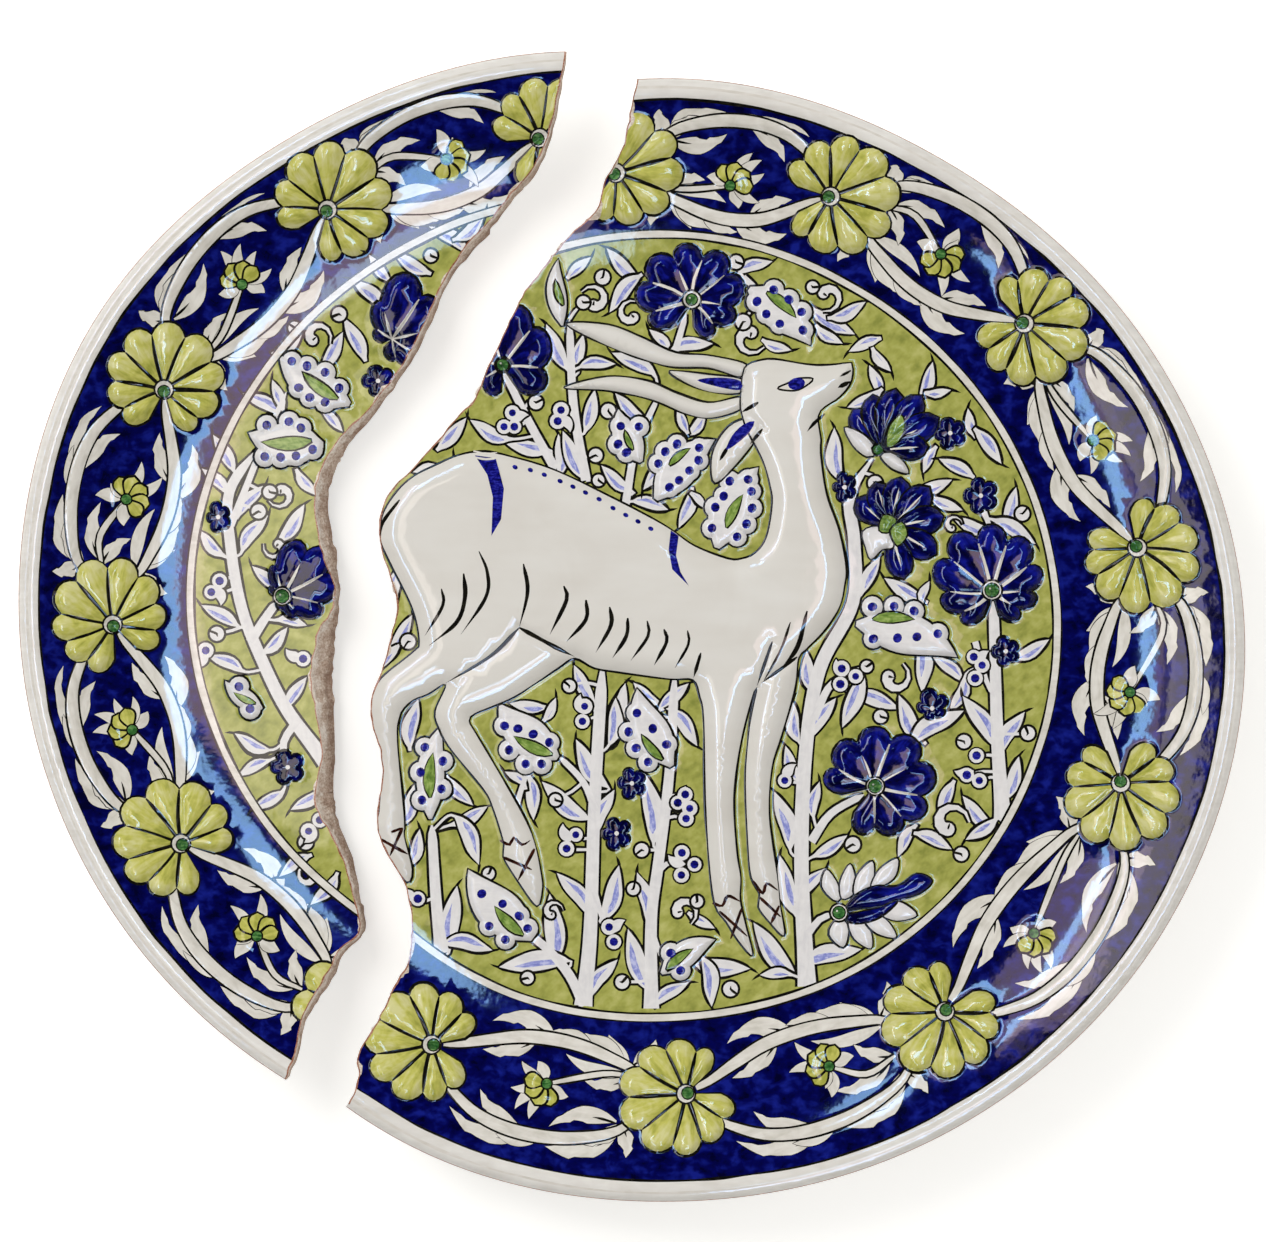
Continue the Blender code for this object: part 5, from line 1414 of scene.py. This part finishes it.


# Each glaze: (deep, middle, light), the size of the brush's patches and streaks in mm, and how uneven
# it is. "along" stretches the streaks, and "paleningOver" is how far from the hub a petal turns from
# darker to paler.
glazes = {
    # cobalt oxide under clear glaze: near black where it pools, royal blue where the brush thinned it
    "cobaltGround": {"colours": ("#00002a", "#020452", "#121d82"), "patch": 6.5, "streak": 4.0,
                     "spread": 0.9, "along": 0.7},
    # the same, laid thick in one stroke a petal: the domes of the blooms read as dark blue glass
    "cobaltPetal": {"colours": ("#010120", "#03044c", "#11188a"), "patch": 5.0, "streak": 2.0,
                    "spread": 0.9, "paleningOver": 20.0},
    # copper and tin-yellow green in overlapping washes: a mottled moss green behind the leaves
    "limeGround": {"colours": ("#868c42", "#a6a856", "#bebe74"), "patch": 8.0, "streak": 3.5,
                   "spread": 0.7, "along": 0.75},
    # a yellower wash over white: the petals glow against the cobalt
    "limePetal": {"colours": ("#a0a247", "#c6c466", "#d7d497"), "patch": 6.0, "streak": 1.8,
                  "spread": 0.8, "paleningOver": 20.0},
    # strong copper green, a deep dot in each flower's eye
    "copperGreen": {"colours": ("#1e4a20", "#3c7038", "#6d9a58"), "patch": 1.8, "streak": 0.8,
                    "spread": 1.0},
    # thin copper green, the soft slit in a white leaf
    "copperLeaf": {"colours": ("#5c7a34", "#7f9a4a", "#9fb468"), "patch": 2.5, "streak": 0.9,
                   "spread": 1.0},
    # white slip under the glaze, warm grey where it is thin: the scrolls on the cobalt
    "slip": {"colours": ("#cfcbc2", "#dedad3", "#e9e6e0"), "patch": 7.0, "streak": 2.0, "spread": 0.8},
    # thick slip, cool and even: leaves and buds stand out clean
    "whiteSlip": {"colours": ("#d9d7da", "#e3e1e2", "#ebe9ea"), "patch": 4.0, "streak": 2.0,
                  "spread": 0.7},
    # slip poured over the large relief: quiet and almost flat, so that the form carries it
    "gazelleSlip": {"colours": ("#d8d4ce", "#dedbd6", "#e3e1dd"), "patch": 24.0, "streak": 9.0,
                    "spread": 0.5},
    # tin glaze on the lip, and a painted shade: a slightly darker soft line round the lip near the top of
    # its roll
    "lipGlaze": {"colours": ("#d8d4ce", "#e1deda", "#e9e7e3"), "patch": 14.0, "streak": 2.5,
                 "spread": 0.7},
    "lipShade": {"colours": ("#cfcac2", "#d9d4cd", "#e2deda"), "patch": 9.0, "streak": 2.0,
                 "spread": 0.8},
    # thin cobalt wash, lilac over the white: the shade along each leaf
    "lilacWash": {"colours": ("#7f86cc", "#9aa0da", "#c3c6ea"), "patch": 1.6, "streak": 0.7,
                  "spread": 1.2},
    # full cobalt in small dots, darkest in the middle of a drop
    "dotBlue": {"colours": ("#08083c", "#12127c", "#3034a8"), "patch": 1.5, "streak": 0.8, "spread": 1.0},
    # manganese and iron line, brown-black, that fixes every outline
    "ink": {"colours": ("#080808", "#12110d", "#242219"), "patch": 3.0, "streak": 0.8, "spread": 1.0},
    # iron alone, a red-brown on the hooves
    "umber": {"colours": ("#160906", "#2f130d", "#4c261a"), "patch": 3.0, "streak": 0.8, "spread": 1.0},
    # bare clay showing through the glaze along every edge: a thin rusty line
    "brownEdge": {"colours": ("#7e4a34", "#a4705a", "#c09684"), "patch": 1.6, "streak": 0.6,
                  "spread": 1.2},
    # where the glaze flaked off along the break: pale, dry-looking flecks
    "chipped": {"colours": ("#b9a796", "#d3c6b8", "#e4dbd0"), "patch": 1.2, "streak": 0.5, "spread": 1.1},
    # the plain glaze of the back, creamy and a little cloudy
    "backGlaze": {"colours": ("#d2ccc2", "#ddd8cf", "#e6e2da"), "patch": 20.0, "streak": 4.0,
                  "spread": 0.7},
}


def newMaterial(name, roughness):
    material = bpy.data.materials.new(name)
    material.use_nodes = True
    shader = material.node_tree.nodes["Principled BSDF"]
    shader.inputs["Roughness"].default_value = roughness
    return material, material.node_tree, shader


def noise(tree, place, scale, detail, **more):
    inputs = {"Vector": place, "Scale": scale, "Detail": detail, **more}
    return addNode(tree, "ShaderNodeTexNoise", inputs).outputs[0]


def added(tree, one, two):
    return addNode(tree, "ShaderNodeMath", {0: one, 1: two}, operation="ADD").outputs[0]


def finishSurface(tree, shader, value, low, high, colours, height, strength, distance):
    # colours the surface by a value between low and high, and roughens it by a height
    amount = addNode(tree, "ShaderNodeMapRange", {"Value": value, "From Min": low, "From Max": high})
    ramp = addNode(tree, "ShaderNodeValToRGB", {"Fac": amount.outputs[0]})
    deep, middle, light = (linear(c) for c in colours)
    ramp.color_ramp.elements[0].color = deep
    ramp.color_ramp.elements[1].color = light
    ramp.color_ramp.elements.new(0.5).color = middle
    bump = addNode(tree, "ShaderNodeBump", {"Height": height, "Strength": strength, "Distance": distance})
    tree.links.new(ramp.outputs["Color"], shader.inputs["Base Color"])
    tree.links.new(bump.outputs["Normal"], shader.inputs["Normal"])


def glazeMaterial(name, look):
    # clear lead-free glaze over paint: sharp but slightly rippled reflections
    material, tree, shader = newMaterial(name, 0.06)
    shader.inputs["IOR"].default_value = 1.5
    place = addNode(tree, "ShaderNodeTexCoord").outputs["Object"]
    patches = noise(tree, place, perMm(look["patch"]), 3.0, Roughness=0.55, Distortion=0.7)
    brush = addNode(tree, "ShaderNodeAttribute", attribute_name="brush").outputs["Vector"]
    stretch = (look.get("along", 0.24) / look["streak"], 1.0 / look["streak"], 3.7)
    stretched = addNode(tree, "ShaderNodeVectorMath", {0: brush, 1: stretch}, operation="MULTIPLY")
    streaks = noise(tree, stretched.outputs[0], 1.0, 2.0, Roughness=0.6)
    both = added(tree, patches, streaks)
    if "paleningOver" in look:    # darker at the hub, paler out towards the petal's edge
        out = addNode(tree, "ShaderNodeSeparateXYZ", {0: brush}).outputs["X"]
        paler = addNode(tree, "ShaderNodeMapRange", {"Value": out, "From Max": look["paleningOver"],
                                                     "To Min": -0.16, "To Max": 0.12})
        both = added(tree, both, paler.outputs[0])
    either = 0.24 / look["spread"]
    ripple = noise(tree, place, perMm(5.0), 2.0)
    finishSurface(tree, shader, both, 1.0 - either, 1.0 + either, look["colours"], ripple, 0.5, 0.00008)
    return material


clay = {
    "lump": 5.0, "grain": 0.8,    # mm
    "body": ("#9a7d69", "#c6b09e", "#ede4da"),
    "underGlaze": ("#b59c85", "#d8c9b9", "#ece3d8"),
}


def clayMaterial(name, colours):
    # fired earthenware where it broke: buff, matt and gritty, with darker layers
    material, tree, shader = newMaterial(name, 0.85)
    place = addNode(tree, "ShaderNodeTexCoord").outputs["Object"]
    lumps = noise(tree, place, perMm(clay["lump"]), 4.0)
    grains = noise(tree, place, perMm(clay["grain"]), 3.0)
    both = added(tree, lumps, grains)
    # paler under the glaze, where the white slip soaked in
    # paler at the top of the broken wall, darker towards its foot and on the bare foot ring
    down = addNode(tree, "ShaderNodeAttribute", attribute_name="down").outputs["Fac"]
    paler = addNode(tree, "ShaderNodeMath", {0: down, 1: -0.42, 2: 0.2}, operation="MULTIPLY_ADD")
    toned = added(tree, both, paler.outputs[0])
    finishSurface(tree, shader, toned, 0.7, 1.3, colours, both, 0.6, 0.0004)
    return material


materials = {name: glazeMaterial(name, look) for name, look in glazes.items()}
materials["earthenware"] = clayMaterial("firedEarthenware", clay["body"])
materials["glazeEdge"] = clayMaterial("brokenGlazeEdge", clay["underGlaze"])
print("materials:", len(materials))

for plate, field, withGazelle in ((largePlate, largeField, True), (smallPlate, smallField, False)):
    canvas = paintPlate(plate, field, withGazelle)
    pieces = glazedFaces(canvas, materials)
    pieces.append(rawBody(canvas, materials))
    for piece in pieces:
        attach(piece, "root")
        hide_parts(plate["node"])

studio = {
    "floorSize": 6.0, "tableGlow": 0.42,
    "cameraHeight": 5.0, "lookAt": (0.0004, 0.0021),
    "frameWidth": 0.4537, "framePlane": 0.035,    # what the camera takes in, and at what height
    "world": 0.56, "worldInGlaze": 0.02,
}


def addFloor():
    mesh = bpy.data.meshes.new("table")
    half = studio["floorSize"] / 2
    corners = [(-half, -half, 0), (half, -half, 0), (half, half, 0), (-half, half, 0)]
    mesh.from_pydata(corners, [], [(0, 1, 2, 3)])
    floor = addObject("table", mesh)
    floor.location.z = -0.0002    # just under the plate, so that the two never flicker
    # matt white paper, lit a little from within for the eye alone: shadows stay soft and pale
    material, tree, shader = newMaterial("whiteTable", 0.9)
    shader.inputs["Base Color"].default_value = linear("#f4f4f3")
    shader.inputs["Specular IOR Level"].default_value = 0.0
    shader.inputs["Emission Color"].default_value = (1, 1, 1, 1)
    seen = addNode(tree, "ShaderNodeLightPath").outputs["Is Camera Ray"]
    glow = addNode(tree, "ShaderNodeMath", {0: seen, 1: studio["tableGlow"]}, operation="MULTIPLY")
    tree.links.new(glow.outputs[0], shader.inputs["Emission Strength"])
    mesh.materials.append(material)


# Panels of light: (name, degrees towards x, degrees towards y, distance, width, height, colour,
# radiance), in metres.
# The windows are only seen in the glaze; the soft boxes only light the clay and paint.
windows = [
    ("nearWindowBlue", 15.2, -16, 2.7, 0.22, 2.4, "#98caff", 15.0),
    ("nearWindowMauve", 8.9, -15.0, 2.6, 0.40, 1.8, "#d0b4b6", 5.6),
    ("nearWindowPale", -24.8, 2, 0.32, 0.078, 0.27, "#f6eae0", 3.4),
    ("nearWindowFoot", 9.8, 8.6, 2.7, 0.27, 0.25, "#98caff", 14.0),
    ("nearWindowHead", 5.6, -12.5, 2.75, 0.30, 0.42, "#a8d0f4", 9.0),
    ("lowWindow", 7.6, -31, 2.6, 0.4, 0.5, "#98caff", 10.0),
    ("farWindowBlue", -36.6, 0, 2.6, 0.12, 4.2, "#98caff", 17.0),
    ("farWindowMauve", -39.2, 0, 2.6, 0.11, 4.6, "#d0b4b6", 3.8),
    ("farWindowDusk", -42.2, 0, 2.6, 0.20, 4.6, "#b4a4cc", 1.5),
    ("cornerWindowHaze", -37, 33, 2.6, 0.85, 1.0, "#c9b2c6", 4.0),
    ("cornerWindowBlue", -25.5, 36, 2.6, 0.34, 0.36, "#98caff", 15.0),
    ("cornerWindowLow", -22, 45, 2.6, 0.30, 0.36, "#98caff", 13.0),
]
softBoxes = [
    ("softTopLeft", -36.5, 31.8, 2.6, 1.5, 1.5, "#fffefb", 4.8),
    ("softRight", 60, 0, 2.6, 1.4, 1.6, "#fffefb", 1.5),
]


def addPanel(name, towardsX, towardsY, distance, width, height, colour, radiance):
    lamp = bpy.data.lights.new(name, "AREA")
    lamp.shape = "RECTANGLE"
    lamp.size = width
    lamp.size_y = height
    lamp.color = linear(colour)[:3]
    lamp.energy = radiance * math.pi * width * height
    made = addObject(name, lamp)
    away = Vector((math.tan(math.radians(towardsX)), math.tan(math.radians(towardsY)), 1)).normalized()
    across = Vector((0, 1, 0)).cross(away).normalized()
    made.matrix_world = Matrix((across, away.cross(across), away)).transposed().to_4x4()
    made.location = away * distance
    made.visible_camera = False
    return made


def addWorld():
    # a plain pale room, nearly dark in the glaze and white beyond the table's edge
    world = bpy.data.worlds.new("studio")
    world.use_nodes = True
    tree = world.node_tree
    background = tree.nodes["Background"]
    background.inputs["Color"].default_value = linear("#fffdf9")
    seen = addNode(tree, "ShaderNodeLightPath").outputs
    strength = addNode(tree, "ShaderNodeMapRange", {"Value": seen["Is Glossy Ray"],
                                                    "To Min": studio["world"],
                                                    "To Max": studio["worldInGlaze"]})
    behind = addNode(tree, "ShaderNodeMapRange", {"Value": seen["Is Camera Ray"],
                                                  "To Min": strength.outputs[0], "To Max": 1.0})
    tree.links.new(behind.outputs[0], background.inputs["Strength"])
    bpy.context.scene.world = world


def addCamera():
    camera = bpy.data.cameras.new("camera")
    camera.sensor_width = 36.0
    camera.lens = 36.0 * (studio["cameraHeight"] - studio["framePlane"]) / studio["frameWidth"]
    camera.clip_end = 50.0
    made = addObject("camera", camera)
    made.location = (*studio["lookAt"], studio["cameraHeight"])
    bpy.context.scene.camera = made


addFloor()
for window in windows:
    addPanel(*window).visible_diffuse = False
for box in softBoxes:
    addPanel(*box).visible_glossy = False
addWorld()
addCamera()
bpy.context.scene.view_settings.view_transform = "Standard"
print("table, lights and camera")
